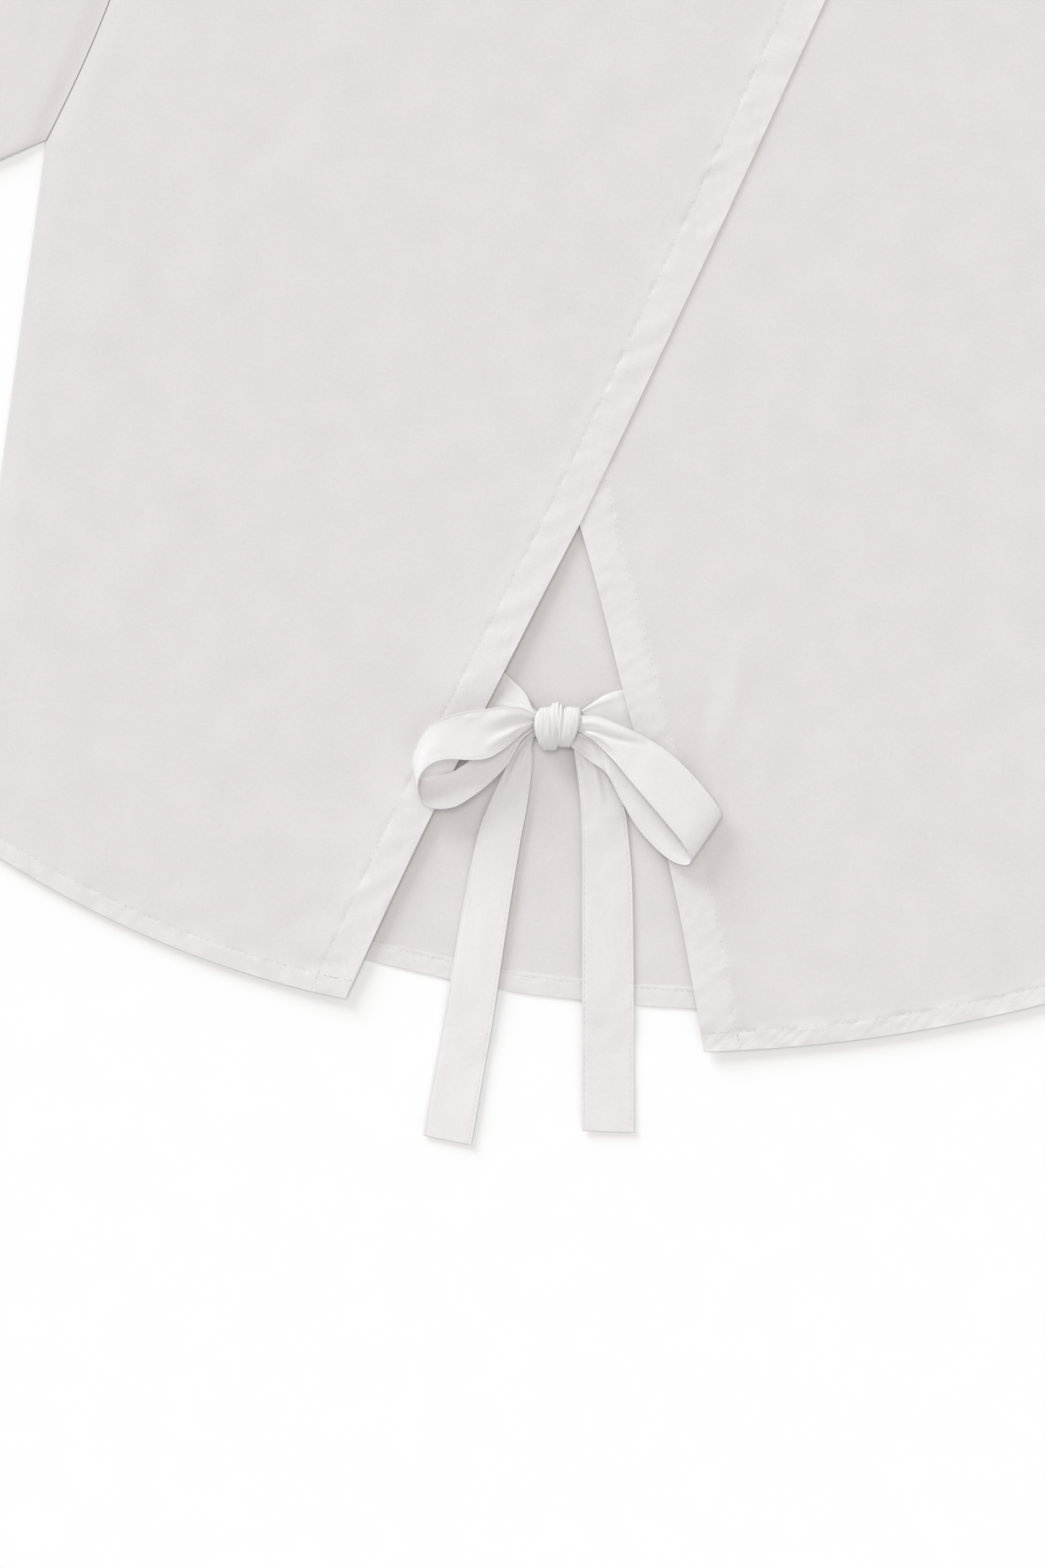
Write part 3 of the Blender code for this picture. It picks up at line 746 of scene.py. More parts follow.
def pucker(s, inside, stitch, seed):
    """The small pulls of a stitched edge: slanted ones over the turned cloth, short ones at the stitches."""
    turned = eased(inside / PUCKER_START) * eased((stitch + PUCKER_PAST - inside) / PUCKER_FADE)
    slanted = bumpiness(s + PUCKER_SLANT * inside, inside / 2, PUCKER_SIZE, seed)
    slanted += 0.5 * bumpiness(s - PUCKER_SLANT * inside, inside, PUCKER_SMALL, seed + 4)
    short = bumpiness(s, 0, PUCKER_SHORT, seed + 7) * bell(inside - stitch, PUCKER_REACH)
    return PUCKER_HEIGHT * slanted * turned + PUCKER_SHORT_HEIGHT * short


def broad_relief(x, y, seed):
    broad = BROAD_HEIGHT * bumpiness(x, y, BROAD_SIZE, seed)
    return broad + FINE_HEIGHT * bumpiness(x, y, FINE_SIZE, seed + 3)


def edge_lift(front, x, y):
    inside = front.side * (x - edge_x(front, y))
    from_top = (front.lifts_below - y) / (front.lifts_below - BOW_Y)
    from_bow = (BOW_Y - y) / (BOW_Y - front.foot_y)
    along = eased(from_top) * between(1, EDGE_LIFT_KEPT, eased(from_bow))
    return EDGE_LIFT * along * eased(1 - inside / EDGE_LIFT_REACH)


def front_height(front, creases, seed, beneath=None):
    """Gives height(x, y) of a front: its underside, its top, and whether the cloth is turned there."""

    def height(x, y):
        hem = y - front_hem_y(front, x)
        edge = inside_edge(front, x, y)
        seam = from_seams(front.side, x, y)
        turned_hem = eased((HEM_DEPTH + STEP_RUN - hem) / STEP_RUN)
        turned_edge = eased((BAND_WIDTH + BAND_STEP_RUN - edge) / BAND_STEP_RUN)
        thick = between(LAYER, TURNED, max(turned_hem, turned_edge))
        over_under = 0
        if front is UPPER:
            over_under = OVERLAP_LIFT * eased(1 + (x - edge_x(UNDER, y)) / OVERLAP_RAMP)
        bed = FRONT_BED + LOFT * eased(seam / LOFT_REACH)
        bed = max(bed, BACK_HEM_CLEAR * eased((back_hem_y(x) + BACK_HEM_REACH - y) / BACK_HEM_RAMP))
        free = eased(min(hem, edge) / CREASE_CALM)
        under = bed + max(edge_lift(front, x, y), over_under)
        under += crease_height(creases, x, y) * between(CREASE_AT_EDGE, 1, free) + broad_relief(x, y, seed)
        under = between(SEAM_REST, under, eased(seam / SEAM_RUN))
        groove = max(bell(hem - HEM_STITCH, GROOVE_WIDTH), bell(edge - BAND_STITCH, GROOVE_WIDTH))
        relief = pucker(x, hem, HEM_STITCH, seed) + pucker(y, edge, BAND_STITCH, seed + 11)
        under += PUCKER_RISE * relief
        floor = SEAM_REST
        if beneath is not None and inside_edge(UNDER, x, y) > 0:
            floor = beneath(x, y)[1] + CLEARANCE
        under = max(under, floor)
        over = under + max(LAYER / 2, thick + PUCKER_SWELL * relief - GROOVE_DEPTH * groove)
        under, over = thinned(under, over, rounding(min(hem, edge), thick))
        return under, over, hem < HEM_DEPTH or edge < BAND_WIDTH

    return height


def back_height(x, y):
    hem = y - back_hem_y(x)
    turned = eased((HEM_DEPTH + BACK_STEP_END - hem) / BACK_STEP_RUN)
    rise = max(0, crease_height(BACK_CREASES, x, y) + BACK_RELIEF * broad_relief(x, y, 21) + BACK_RISE)
    rise *= eased(from_seams(1 if x > 0 else -1, x, y) / SEAM_RUN)
    relief = pucker(x, hem, BACK_HEM_STITCH, 23)
    groove = bell(hem - BACK_HEM_STITCH, GROOVE_WIDTH)
    under = GROUND + rise
    thick = between(LAYER, TURNED, turned) + PUCKER_RISE * relief * turned
    over = under + max(LAYER / 2, thick - GROOVE_DEPTH * groove)
    under, over = thinned(under, over, rounding(hem, TURNED))
    return under, over, hem < HEM_DEPTH


def front_panel(node, front, height):
    rows = [front_row(front, hem, edge) for hem, edge in TURN_ROWS]
    neck = [neckline(share, FRONT_NECK_DROP, -front.side) for share in spread(0, 1, NECK_COLUMNS)]
    arm = [armhole(front.side, share) for share in spread(1, 0, ARM_COLUMNS)]
    piece, area = panel(node, rows, (neck, arm), height, -front.side)
    hem_line = front_row(front, HEM_STITCH, HEM_LINE_END)[: HEM_COLUMNS + 1]
    edge_line = front_row(front, BAND_LINE_END, BAND_STITCH)[HEM_COLUMNS:]

    def corner_lift(p):
        hem, edge = p.y - front_hem_y(front, p.x), inside_edge(front, p.x, p.y)
        return CORNER_LIFT * (hem < HEM_STITCH - CORNER_CLEAR or edge < BAND_STITCH - CORNER_CLEAR)

    lines = [laid_on(height, hem_line, corner_lift), laid_on(height, edge_line, corner_lift)]
    return piece, stitches(node + "_cloth", lines, "poplin"), area


under_height = front_height(UNDER, UNDER_CREASES, 31)
upper_height = front_height(UPPER, UPPER_CREASES, 1, under_height)
front_upper, upper_stitches, upper_area = front_panel("front_upper", UPPER, upper_height)
front_under, under_stitches, under_area = front_panel("front_under", UNDER, under_height)


def back_panel():
    across = spread(-SIDE_HALF, SIDE_HALF, round(2 * SIDE_HALF / EDGE_PITCH))
    rows = [[Vector((x, back_hem_y(x) + inset)) for x in across] for inset in BACK_HEM_ROWS]
    right = [armhole(1, share) for share in spread(0, 1, ARM_COLUMNS)]
    neck = [neckline(share, BACK_NECK_DROP, 1) for share in spread(0, 1, BACK_NECK_COLUMNS)]
    left = [armhole(-1, share) for share in spread(1, 0, ARM_COLUMNS)]
    piece, area = panel("back", rows, (right, neck, left), back_height, 1)
    line = [Vector((x, back_hem_y(x) + BACK_HEM_STITCH)) for x in across]
    return piece, stitches("back_cloth", [laid_on(back_height, line)], "poplin"), area


back, back_stitches, back_area = back_panel()


# Neckbands

NECKBAND_STITCH = 1.6
NECKBAND_RELIEF = 0.4
NECKBAND_RELIEF_RUN = 3
NECKBAND_ROWS = [0.05, 0.2, 0.55, 1.1, 1.6, 2.1, 3, 4.6, 6.4, 8.4, 10.2, 11.3, 11.7, 11.88, 12]


def neckband(node, drop, length, seam_height, middle_height):
    def place(share, inward):
        edge = neckline(share, drop, -1)
        x = edge.x * (1 - inward / NECK_HALF)
        down = (NECK_TOP_Y - edge.y) * (1 - inward / drop)
        y = NECK_TOP_Y - down + SHOULDER_SLOPE * inward * abs(cos(pi * share))
        inset = min(inward - NECKBAND_ROWS[0], NECKBAND_ROWS[-1] - inward)
        thick = TURNED * rounding(inset, TURNED) - GROOVE_DEPTH * bell(inward - NECKBAND_STITCH, GROOVE_WIDTH)
        z = between(seam_height, middle_height, sin(pi * share)) + TURNED / 2
        relief = NECKBAND_RELIEF * bumpiness(length * share, inward, PUCKER_SIZE, 41)
        z += relief * eased(inset / NECKBAND_RELIEF_RUN)
        return on_garment(x, y, z), Vector((0, 0, 1)), max(LAYER / 2, thick)

    def flat(share, inward):
        return (length * share, inward)

    along = spread(0, 1, NECKBAND_COLUMNS)
    piece = strip(node, along, NECKBAND_ROWS, place, flat, double_cloth)
    line = on_face(place, [(share, NECKBAND_STITCH) for share in along])
    return piece, stitches(node, [line], "poplin")


neckband_front, neckband_front_stitches = neckband(
    "neckband_front", FRONT_NECK_DROP, length=296, seam_height=1, middle_height=2.9
)
neckband_back, neckband_back_stitches = neckband(
    "neckband_back", BACK_NECK_DROP, length=199, seam_height=0.02, middle_height=0.05
)


# Sleeves

SLEEVE_LENGTH = 560
SLEEVE_FALL = radians(38)
CUFF_WIDTH = 115
CUFF_STEP_RUN = 1.5
SLEEVE_HEIGHT = 2.5
SLEEVE_CAP_HEIGHT = 1.3
SLEEVE_CAP_RUN = 24
SLEEVE_ARC = 6
SLEEVE_COLUMNS = 44
SLEEVE_FOLD = 0.08  # how far from a folded side the creases fade, as a share of the width
SLEEVE_CAP_ROWS = [0, 0.12, 0.4, 1.5, 4, 8]
SLEEVE_CUFF_ROWS = [14, 12.2, 10.3, 9.7, 9.2, 8.7, 8, 6.4, 4.4, 2.6, 1.2, 0.4, 0.12, 0]


def sleeve_profile():
    """Round a flattened tube, from the shoulder fold along the top: the share across it, how far in from the
    fold as a share of its half height, and the outward direction in its section."""
    arc = [pi * k / SLEEVE_ARC for k in range(1, SLEEVE_ARC)]
    top = [(share, 1 - 2 * share, 0, 1) for share in spread(0, 1, SLEEVE_COLUMNS)]
    underarm = [(1, -1, sin(a), cos(a)) for a in arc]
    bottom = [(share, inset, 0, -1) for share, inset, _, _ in reversed(top)]
    shoulder = [(0, 1, -sin(a), -cos(a)) for a in arc]
    return top + underarm + bottom + shoulder


def sleeve(node, side, seed):
    along = Vector((side * cos(SLEEVE_FALL), -sin(SLEEVE_FALL)))
    inward = Vector((-side * sin(SLEEVE_FALL), -cos(SLEEVE_FALL)))
    top_end = armhole(side, 1) + along * SLEEVE_LENGTH
    cap_width = (armhole(side, 1) - armhole(side, 0)).length
    girth = cap_width + CUFF_WIDTH
    profile = sleeve_profile()

    def place(s, k):
        share, inset, out, up = profile[k]
        from_cap, to_end = SLEEVE_LENGTH * s, SLEEVE_LENGTH * (1 - s)
        height = between(SLEEVE_CAP_HEIGHT, SLEEVE_HEIGHT, eased(from_cap / SLEEVE_CAP_RUN))
        thick = between(LAYER, TURNED, eased((HEM_DEPTH + CUFF_STEP_RUN - to_end) / CUFF_STEP_RUN))
        thick -= GROOVE_DEPTH * bell(to_end - HEM_STITCH, GROOVE_WIDTH)
        radius = (height - thick) / 2
        aside = inset * height / 2 + out * radius
        cap = armhole(side, min(1, max(0, 1 - share - aside / cap_width)))
        cuff = top_end + inward * (CUFF_WIDTH * share + aside)
        spot = between(cap, cuff, s)
        width = between(cap_width, CUFF_WIDTH, s)
        rise = crease_height(SLEEVE_CREASES, from_cap, (0.5 - share) * width)
        rise += broad_relief(from_cap, share * width, seed)
        rise += PUCKER_RISE * pucker(share * width, to_end, HEM_STITCH, seed)
        rise *= max(0, up) * eased(from_cap / SLEEVE_CAP_RUN)
        rise *= eased(share / SLEEVE_FOLD) * eased((1 - share) / SLEEVE_FOLD)
        middle = on_garment(spot.x, spot.y, GROUND + height / 2 + up * radius + rise)
        normal = Vector((inward.x * out, inward.y * out, up))
        return middle, normal, thick * rounding(min(from_cap, to_end), thick)

    def flat(s, k):
        return (girth * k / len(profile), SLEEVE_LENGTH * s)

    first, last = SLEEVE_CAP_ROWS[-1], SLEEVE_LENGTH - SLEEVE_CUFF_ROWS[0]
    inner = spread(first, last, round((last - first) / FIELD_PITCH))[1:-1]
    stations = SLEEVE_CAP_ROWS + inner + [SLEEVE_LENGTH - d for d in SLEEVE_CUFF_ROWS]
    stations = [d / SLEEVE_LENGTH for d in stations]
    piece = strip(node, stations, range(len(profile)), place, flat, single_cloth, girth=girth)
    line = on_face(place, [(1 - HEM_STITCH / SLEEVE_LENGTH, k) for k in range(1, SLEEVE_COLUMNS)])
    return piece, stitches(node, [line], "poplin")


sleeve_left, sleeve_left_stitches = sleeve("sleeve_left", -1, seed=51)
sleeve_right, sleeve_right_stitches = sleeve("sleeve_right", 1, seed=61)


# Ties, in the bow's frame. Each section is the x, y and z of its near edge and then of its far edge. The near
# edge is towards the hem on a root or a loop, and towards the centre line on a tail.

LEFT_LOOP = [
    (-11.7, 0.2, 10.4, -11.7, 6.4, 11.4), (-18.4, -4.9, 11.9, -17.7, 9.1, 13),
    (-24.7, -10.5, 13.8, -24.7, 9.3, 14.4), (-33.4, -15.6, 15.8, -35.2, 8, 15.2),
    (-42.2, -16.5, 16.9, -45.7, 6.5, 15.4), (-52, -16.1, 17.5, -55.5, 3.2, 15),
    (-59.4, -17.7, 17.6, -63.4, -2.3, 14), (-64.9, -22.6, 16.6, -68.6, -12.4, 12.2),
    (-67.1, -30.1, 14.6, -69.6, -20.6, 9.6), (-65, -37.2, 12.2, -66.7, -25.2, 7.4),
    (-58.3, -40, 10.6, -59.9, -24.2, 6.6), (-49.2, -39, 9.6, -50.9, -22.4, 6.8),
    (-39.7, -33.3, 9.2, -42.2, -16.8, 7.4), (-30.6, -25.8, 9.2, -33.1, -9.8, 8.2),
    (-23.6, -18.2, 9.3, -24.7, -3.5, 8.8), (-17.2, -7.3, 9.4, -17.7, 1, 9.2),
    (-11.7, -2.6, 9, -11.7, 1.2, 9.2),
]

RIGHT_LOOP = [
    (11.7, -3.4, 10.2, 11.7, 5.2, 11.2), (16.6, -6.2, 11.2, 19.4, 4.7, 12.2),
    (22.4, -11.6, 12.2, 27.8, 1.5, 12.8), (28, -17.5, 13.2, 35.5, -1.9, 12.8),
    (33.4, -24.2, 14, 43.9, -6.2, 12.4), (41.1, -33.3, 14.6, 54.1, -13, 12.2),
    (50.6, -44.5, 15, 64.6, -22.8, 12), (59.3, -55, 14.6, 74, -34, 11.4),
    (63.3, -61.6, 13.4, 78.4, -40.6, 10.2), (64, -65.8, 11.4, 78.7, -44.3, 8.4),
    (61.6, -67.2, 9.6, 75, -45.5, 7.2), (55.4, -65.2, 8.6, 68.2, -43, 7),
    (47.1, -58.5, 8.2, 59.7, -35.7, 7.2), (38.3, -48.3, 8.2, 50.6, -26.6, 7.6),
    (30.6, -35.4, 8.2, 41.1, -16.8, 8), (24, -23.1, 8.4, 32, -8.4, 8.6),
    (15.4, -16.6, 8.2, 22.4, -3.4, 9.2), (6.8, -10.2, 7.6, 11.6, -3.6, 9.2),
]

LEFT_TAIL = [
    (-11.3, -5.4, 7.4, -11.6, -2.2, 8), (-12.3, -9.4, 6.6, -17.4, -8, 7.4),
    (-12, -15.4, 5.2, -22.6, -15.6, 5.8), (-12.6, -24.9, 3.6, -26.9, -24.9, 3.9),
    (-14.9, -41.3, 3, -34.3, -41.3, 2.3), (-17.4, -54.5, 2.8, -38.7, -53.9, 1.8),
    (-22.6, -86.1, 2.6, -45.3, -86.1, 1.6), (-28.4, -125, 2.5, -51.8, -124, 1.7),
    (-31.6, -146, 1.8, -55.2, -143, 1), (-35.5, -168, 1.6, -59.2, -165, 0.8),
    (-41.5, -203, 1.9, -64.9, -198.3, 1.1),
]

RIGHT_TAIL = [
    (8.2, -11.3, 6.4, 14.6, -9.2, 7), (9, -17.5, 5.2, 20.1, -15.4, 5.6),
    (10.3, -26.6, 3.6, 26.1, -25.4, 3.8), (11.7, -40.6, 3.5, 32.7, -39.9, 1.8),
    (12.1, -54.6, 3.5, 34.8, -54.6, 1.5), (12.2, -79.1, 3.4, 36.6, -79.1, 1.4),
    (12.2, -125, 3.2, 37.3, -125, 1.6), (12.2, -146, 2.5, 37.3, -146, 0.95),
    (12.1, -166.6, 2.1, 37.3, -166.6, 0.8), (12.1, -196, 1.7, 37.3, -197, 1.2),
]

LEFT_ROOT = [
    (-43.6, 6, 2.6, -32, 29.4, 1.6), (-37.3, 2.8, 2.6, -25.7, 26.3, 1.5),
    (-28.2, 1.8, 3.2, -20.5, 21.4, 1.9), (-20.5, 2.2, 4.8, -15.2, 15.8, 3),
    (-11.7, 3.4, 6.6, -11.7, 8.8, 5.4),
]

RIGHT_ROOT = [
    (44.3, -1.4, 2.4, 38.3, 20.7, 1.5), (37.6, -3.2, 2.6, 31.7, 18.9, 1.5),
    (29.9, -2.8, 3.4, 26.1, 17.5, 1.8), (21.9, -0.7, 4.6, 20.1, 14.4, 2.7),
    (11.7, 2, 6.6, 11.7, 8, 5.2),
]

# Ridges and dips along the stretches: the shares of the stretch where each starts and ends, its place across
# the tie at its start, middle and end, its height, and its width as a share of the tie's

LEFT_LOOP_FOLDS = [
    (-0.05, 0.21, (0.34, 0.5, 0.44), 0.85, 0.12), (0, 0.21, (0.12, 0.31, 0.2), -0.95, 0.1),
    (0, 0.23, (0.7, 0.78, 0.68), -0.75, 0.13), (0.195, 0.25, (0.85, 0.87, 0.88), -0.35, 0.07),
    (0, 0.6, (1.02, 1.02, 1.02), -0.6, 0.08), (0.74, 1.08, (0.12, 0.4, 0.85), 0.45, 0.08),
    (0.78, 1.08, (0.1, 0.33, 0.7), -0.3, 0.05), (0.8, 1.08, (0.12, 0.22, 0.5), 0.35, 0.06),
]

RIGHT_LOOP_FOLDS = [
    (-0.05, 0.24, (0.5, 0.74, 0.93), 0.95, 0.16), (-0.03, 0.25, (0.04, 0.45, 0.88), -1.05, 0.09),
    (0, 0.22, (0.02, 0.27, 0.02), 0.8, 0.06), (0.03, 0.2, (-0.05, 0.05, -0.05), -0.7, 0.09),
    (0.86, 1.08, (-0.25, 0.72, 0.9), 0.95, 0.09), (0.9, 1.08, (0.05, 0.54, 0.85), -0.8, 0.06),
    (0.88, 1.08, (0, 0.42, 0.75), 0.55, 0.06), (0.94, 1.08, (0.15, 0.34, 0.4), -0.65, 0.07),
    (0.9, 1.08, (0.12, 0.08, 0.08), 0.75, 0.09),
]

LEFT_TAIL_FOLDS = [
    (-0.03, 0.38, (0.3, 0.6, 0.76), -1, 0.11), (-0.05, 0.36, (0.82, 0.82, 0.9), 0.6, 0.1),
    (-0.02, 0.34, (0.05, 0.3, 0.36), 0.75, 0.13),
]

RIGHT_TAIL_FOLDS = [
    (0.03, 0.2, (0.5, 0.55, 0.58), -0.65, 0.05), (0.05, 0.32, (0.7, 0.62, 0.5), 0.65, 0.09),
    (0.1, 0.32, (0.95, 0.77, 0.65), -0.55, 0.1), (0, 0.35, (0.1, 0.12, 0.16), 0.55, 0.12),
    (0.05, 0.16, (0.22, 0.25, 0.27), -0.35, 0.05),
]

LEFT_ROOT_FOLDS = [
    (0, 1.3, (0.95, 0.95, 0.95), 0.55, 0.05), (0.15, 1.2, (0.42, 0.46, 0.62), 0.6, 0.06),
    (0.45, 0.95, (0.86, 0.68, 0.5), -0.4, 0.08),
]

RIGHT_ROOT_FOLDS = [
    (0, 1.3, (0.95, 0.95, 0.95), 0.6, 0.05), (0.2, 1.3, (0.8, 0.8, 0.8), -0.35, 0.08),
]

# length is along the cloth. shown is the area that shows, in square millimetres. from_knot and to_knot tell
# whether the stretch starts or ends in the knot. stitched gives the shares across it where stitches lie, and
# faint whether the painted shade in their needle holes is faint
TIE_WIDTH = 25
TIE_STITCH = 1.3  # from its edge
NEAR = (TIE_STITCH / TIE_WIDTH,)
BOTH = (TIE_STITCH / TIE_WIDTH, 1 - TIE_STITCH / TIE_WIDTH)
Tie = namedtuple("Tie", "name sections folds length shown columns from_knot to_knot stitched faint")
TIES = [
    Tie("tie_left_root", LEFT_ROOT, LEFT_ROOT_FOLDS, 31, 600, 60, False, True, NEAR, True),
    Tie("tie_left_loop", LEFT_LOOP, LEFT_LOOP_FOLDS, 147, 2500, 170, True, True, NEAR, True),
    Tie("tie_left_tail", LEFT_TAIL, LEFT_TAIL_FOLDS, 200, 4500, 150, True, False, NEAR, False),
    Tie("tie_right_root", RIGHT_ROOT, RIGHT_ROOT_FOLDS, 31, 580, 60, False, True, NEAR, True),
    Tie("tie_right_loop", RIGHT_LOOP, RIGHT_LOOP_FOLDS, 171, 3650, 190, True, True, NEAR, True),
    Tie("tie_right_tail", RIGHT_TAIL, RIGHT_TAIL_FOLDS, 190, 4500, 150, True, False, BOTH, False),
]
TIE_THICKNESS = 0.6
TIE_STITCHED = (0.03, 0.985)  # the shares of a stretch between which stitches show
TIE_GROOVE = 0.1
TIE_GROOVE_WIDTH = 0.3
TIE_RIM = 0.85  # how far an edge's rim lies above the middle, as a share of half the thickness
TIE_RELIEF = 0.22
TIE_RELIEF_SIZE = 9
TIE_RELIEF_RUN = 3  # over which it starts, from an edge
TIE_PUCKER_SIZE = 4
TIE_PUCKER_REACH = 2
TIE_WAVE = 0.55
TIE_WAVE_SIZE = 19
TIE_EDGE_INSETS = [0, 0.1, 0.35, 0.8, 1.05, 1.3, 1.55, 2, 2.8]
TIE_MIDDLE_COLUMNS = 24
TIE_END_INSETS = [0, 0.1, 0.35, 0.8]
NORMAL_STEP = 0.01
KNOT_CENTRE = Vector((0, 0, 7.7))
KNOT_EXTRA = 0.02  # the share of a stretch that goes on into the knot
KNOT_REACH = 0.3  # and how far that takes it towards the knot's centre


def section_at(sections, share):
    """The two edges a share of the way along, on smooth curves through the sections."""
    place = share * (len(sections) - 1)
    k = min(int(place), len(sections) - 2)
    f = place - k
    rows = [sections[min(max(k + step, 0), len(sections) - 1)] for step in (-1, 0, 1, 2)]
    made = []
    for a, b, c, d in zip(*rows):
        made.append(b + 0.5 * f * (c - a + f * (2 * a - 5 * b + 4 * c - d + f * (3 * (b - c) + d - a))))
    return Vector(made[:3]), Vector(made[3:])


def fold_height(folds, share, across):
    total = 0
    for start, end, (a, b, c), height, width in folds:
        along = (share - start) / (end - start)
        if 0 < along < 1:
            line = a + along * (4 * b - 3 * a - c + 2 * along * (a + c - 2 * b))
            total += height * sin(pi * along) * bell(across - line, width)
    return total


def tie_piece(tie, seed):
    def edges(share):
        kept = min(1, max(0, share))
        near, far = section_at(tie.sections, kept)
        if (share < 0 and tie.from_knot) or (share > 1 and tie.to_knot):
            inward = KNOT_REACH * abs(share - kept) / KNOT_EXTRA
            near, far = between(near, KNOT_CENTRE, inward), between(far, KNOT_CENTRE, inward)
        return near, far

    def place(share, across):
        near, far = edges(share)
        step = between(*edges(share + NORMAL_STEP), across) - between(*edges(share - NORMAL_STEP), across)
        normal = step.cross(far - near).normalized()
        inset = min(across, 1 - across) * TIE_WIDTH
        kept = min(1, max(0, share))
        s = tie.length * share
        rise = fold_height(tie.folds, kept, across)
        t = across * TIE_WIDTH
        rise += TIE_RELIEF * bumpiness(s, t, TIE_RELIEF_SIZE, seed) * eased(inset / TIE_RELIEF_RUN)
        small = 0.5 * TIE_RELIEF * bumpiness(s, inset, TIE_PUCKER_SIZE, seed + 5)
        rise += small * bell(inset - TIE_STITCH, TIE_PUCKER_REACH)
        rise += TIE_WAVE * bumpiness(s, t, TIE_WAVE_SIZE, seed + 8)
        thick = TIE_THICKNESS * rounding(inset, TIE_THICKNESS)
        rise += TIE_RIM * (TIE_THICKNESS - thick) / 2 * normal.z
        thick -= 2 * TIE_GROOVE * bell(inset - TIE_STITCH, TIE_GROOVE_WIDTH)
        for free, run in ((not tie.from_knot, s), (not tie.to_knot, tie.length - s)):
            if free:
                thick *= rounding(run, TIE_THICKNESS)
        return on_bow(between(near, far, across) + normal * rise), turned_with_bow(normal), thick

    def flat(share, across):
        return (TIE_WIDTH * across, tie.length * share)

    side = [d / TIE_WIDTH for d in TIE_EDGE_INSETS]
    inner = spread(side[-1], 1 - side[-1], TIE_MIDDLE_COLUMNS)[1:-1]
    across = side + inner + [1 - d for d in reversed(side)]
    into_knot = [-KNOT_EXTRA, -KNOT_EXTRA / 2]
    free_end = [d / tie.length for d in TIE_END_INSETS]
    first = into_knot if tie.from_knot else free_end
    last = into_knot if tie.to_knot else free_end
    along = spread(max(0, 2 * first[-1]), min(1, 1 - 2 * last[-1]), tie.columns)
    along = first + along + [1 - d for d in reversed(last)]
    piece = strip(tie.name, along, across, place, flat, tie_cloth, "tie_poplin")
    lines = []
    for column in tie.stitched:
        spots = [(share, column) for share in spread(*TIE_STITCHED, 2 * tie.columns)]
        lines += [on_face(place, spots, face) for face in (1, -1)]
    return piece, stitches(tie.name, lines, "tie_poplin", tie.faint)


tie_pieces = {tie.name: tie_piece(tie, 70 + 3 * k) for k, tie in enumerate(TIES)}


# The knot, in the bow's frame. One row for each lobe of the wrap: its left and right edges at the knot's top,
# middle and foot, how far out it reaches there as shares of the knot's half size, and its fall to the sides
Lobe = namedtuple("Lobe", "left right reach fall")
LOBES = [
    Lobe((-9.3, -11.1, -8.4), (-1.9, -2.6, -0.6), (0.79, 1, 1.03), 0.09),
    Lobe((-2.8, -2.7, -1.9), (1.2, 0.2, 0.2), (0.98, 0.97, 0.92), 0.15),
    Lobe((-0.3, 0.1, -0.2), (2.9, 2.3, 1.2), (0.92, 0.97, 0.8), 0.14),
    Lobe((2.2, 2.3, 1.2), (11.9, 10.7, 7.2), (0.8, 0.98, 0.9), 0.08),
]
KNOT_HALF = Vector((11.3, 11.5, 6.2))
KNOT_THICKNESS = 0.8
KNOT_POWER = 9
LOBE_SQUARENESS = 5
LOBE_LEAST = 0.02
KNOT_MOUTH = 0.14
KNOT_MOUTH_POWER = 14
KNOT_ENDS = [0, 0.005, 0.016, 0.035]
KNOT_ACROSS = 96
KNOT_ROUND = 120
KNOT_CUT = Vector((22.6, 58))
STREAK_HEIGHT = 0.03


def at_height(values, v):
    """A value between those at the top, the middle and the foot of the knot, with v from 1 to -1."""
    top, middle, foot = values
    return middle + (top - foot) / 2 * v + ((top + foot) / 2 - middle) * v * v


def knot_place(s, t):
    angle = tau * t
    v, front = cos(angle), sin(angle)
    x = between(at_height(LOBES[0].left, v), at_height(LOBES[-1].right, v), s)
    total = 0
    for lobe in LOBES:
        left, right = at_height(lobe.left, v), at_height(lobe.right, v)
        off = abs(x - (left + right) / 2) / ((right - left) / 2)
        reach = at_height(lobe.reach, v) * (1 - lobe.fall * off**LOBE_SQUARENESS)
        total += max(LOBE_LEAST, reach) ** KNOT_POWER
    radius = total ** (1 / KNOT_POWER)
    streak = bumpiness(x, 2 * v + front, 1, 91) + bumpiness(0.4 * x, v + front, 1, 95)
    radius += STREAK_HEIGHT * streak
    radius *= 1 - KNOT_MOUTH * abs(2 * s - 1) ** KNOT_MOUTH_POWER
    normal = Vector((0, v / KNOT_HALF.y, front / KNOT_HALF.z)).normalized()
    out = Vector((x, KNOT_HALF.y * radius * v, KNOT_HALF.z * radius * front + KNOT_CENTRE.z))
    inset = min(s, 1 - s) * KNOT_CUT.x
    thick = KNOT_THICKNESS * rounding(inset, KNOT_THICKNESS)
    return on_bow(out - normal * (KNOT_THICKNESS / 2)), turned_with_bow(normal), thick


def knot_flat(s, t):
    return (KNOT_CUT.y * t, KNOT_CUT.x * s)


knot_across = KNOT_ENDS + spread(0.05, 0.95, KNOT_ACROSS) + [1 - d for d in reversed(KNOT_ENDS)]
knot_round = [k / KNOT_ROUND for k in range(KNOT_ROUND)]
knot = strip("knot", knot_across, knot_round, knot_place, knot_flat, knot_shaded_cloth, "tie_poplin", KNOT_CUT.y)


# Each tie's piece and its stitches, taken in turn from the table of pieces

for tie in TIES:
    piece, sewn = tie_pieces[tie.name]


# The table, the light and the camera

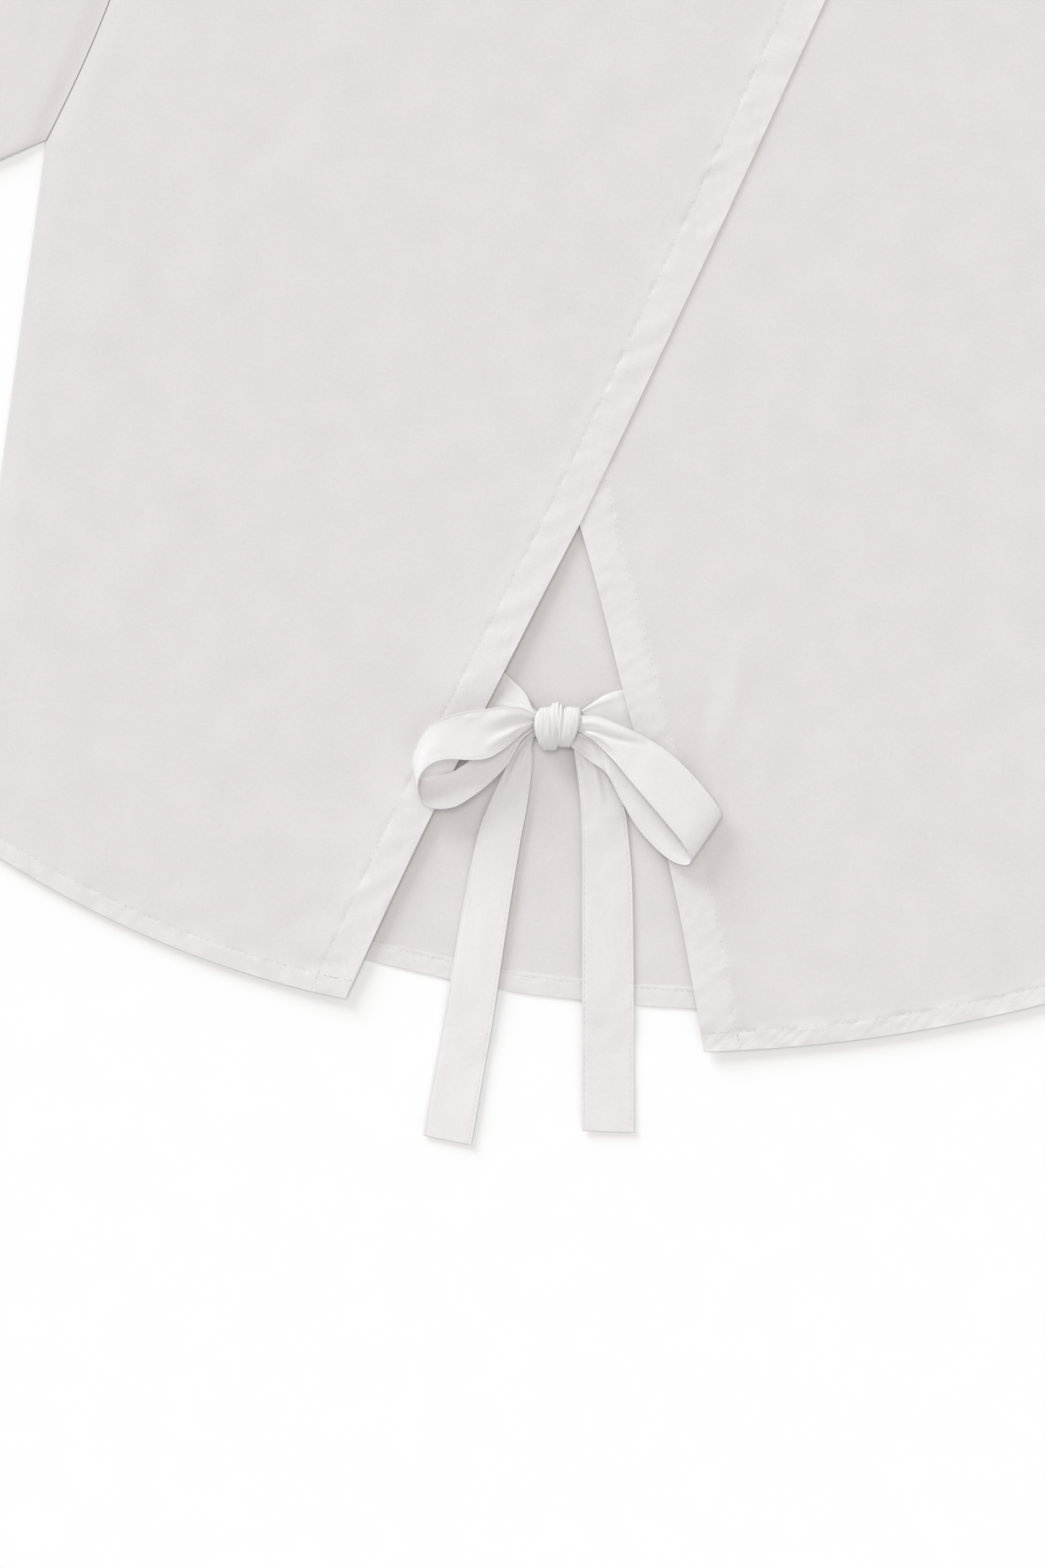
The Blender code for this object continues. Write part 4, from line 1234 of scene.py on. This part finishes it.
TABLE_HALF = 12
TABLE_DROP = 0.0001
CAMERA_LENS = 100
SENSOR_WIDTH = 36
CAMERA_REACH = 50
SEEN_HEIGHT = 0.7588  # of the picture, at the cloth's level
CLOTH_LEVEL = 0.004
SEEN_FROM = (-0.0134, -0.2008)
SKY_STRENGTH = 0.53
# The low light is cool and the high one warm, so that the long shadows are warm and flat cloth is neutral
NEUTRAL = (1, 1, 1)
COOL = (0.89, 0.935, 1)
WARM = (1, 0.965, 0.912)
# The lamps: the colour, the direction of the rays, the strength, and how wide the lamp looks in degrees
Lamp = namedtuple("Lamp", "name colour rays strength angle")
LAMPS = [
    Lamp("low_window", COOL, (0.639, -0.697, -0.326), 2.328, 26),
    Lamp("high_window", WARM, (0.12, -0.13, -0.984), 0.962, 24),
    Lamp("far_wall", NEUTRAL, (-0.55, 0.6, -0.58), 0.55, 60),
]


def table():
    surface = bmesh.new()
    bmesh.ops.create_grid(surface, x_segments=1, y_segments=1, size=TABLE_HALF)
    made = in_scene("table", mesh_of(surface, "table"))
    made.data.materials.append(table_top)
    made.location.z = -TABLE_DROP


def light_and_camera():
    scene = bpy.context.scene
    world = bpy.data.worlds.new("daylight")
    world.use_nodes = True
    sky = world.node_tree.nodes["Background"]
    sky.inputs["Color"].default_value = (*NEUTRAL, 1)
    sky.inputs["Strength"].default_value = SKY_STRENGTH
    scene.world = world
    for lamp in LAMPS:
        light = bpy.data.lights.new(lamp.name, "SUN")
        light.color = lamp.colour
        light.energy = lamp.strength
        light.angle = radians(lamp.angle)
        sun = in_scene(lamp.name, light)
        sun.rotation_euler = Vector(lamp.rays).to_track_quat("-Z", "Y").to_euler()
    camera_data = bpy.data.cameras.new("camera")
    camera_data.lens = CAMERA_LENS
    camera_data.sensor_width = SENSOR_WIDTH
    camera_data.clip_end = CAMERA_REACH
    camera = in_scene("camera", camera_data)
    camera.location = (*SEEN_FROM, SEEN_HEIGHT * CAMERA_LENS / SENSOR_WIDTH + CLOTH_LEVEL)
    camera.rotation_euler.z = BOW_TURN
    scene.camera = camera
    scene.view_settings.view_transform = "Standard"


table()
light_and_camera()
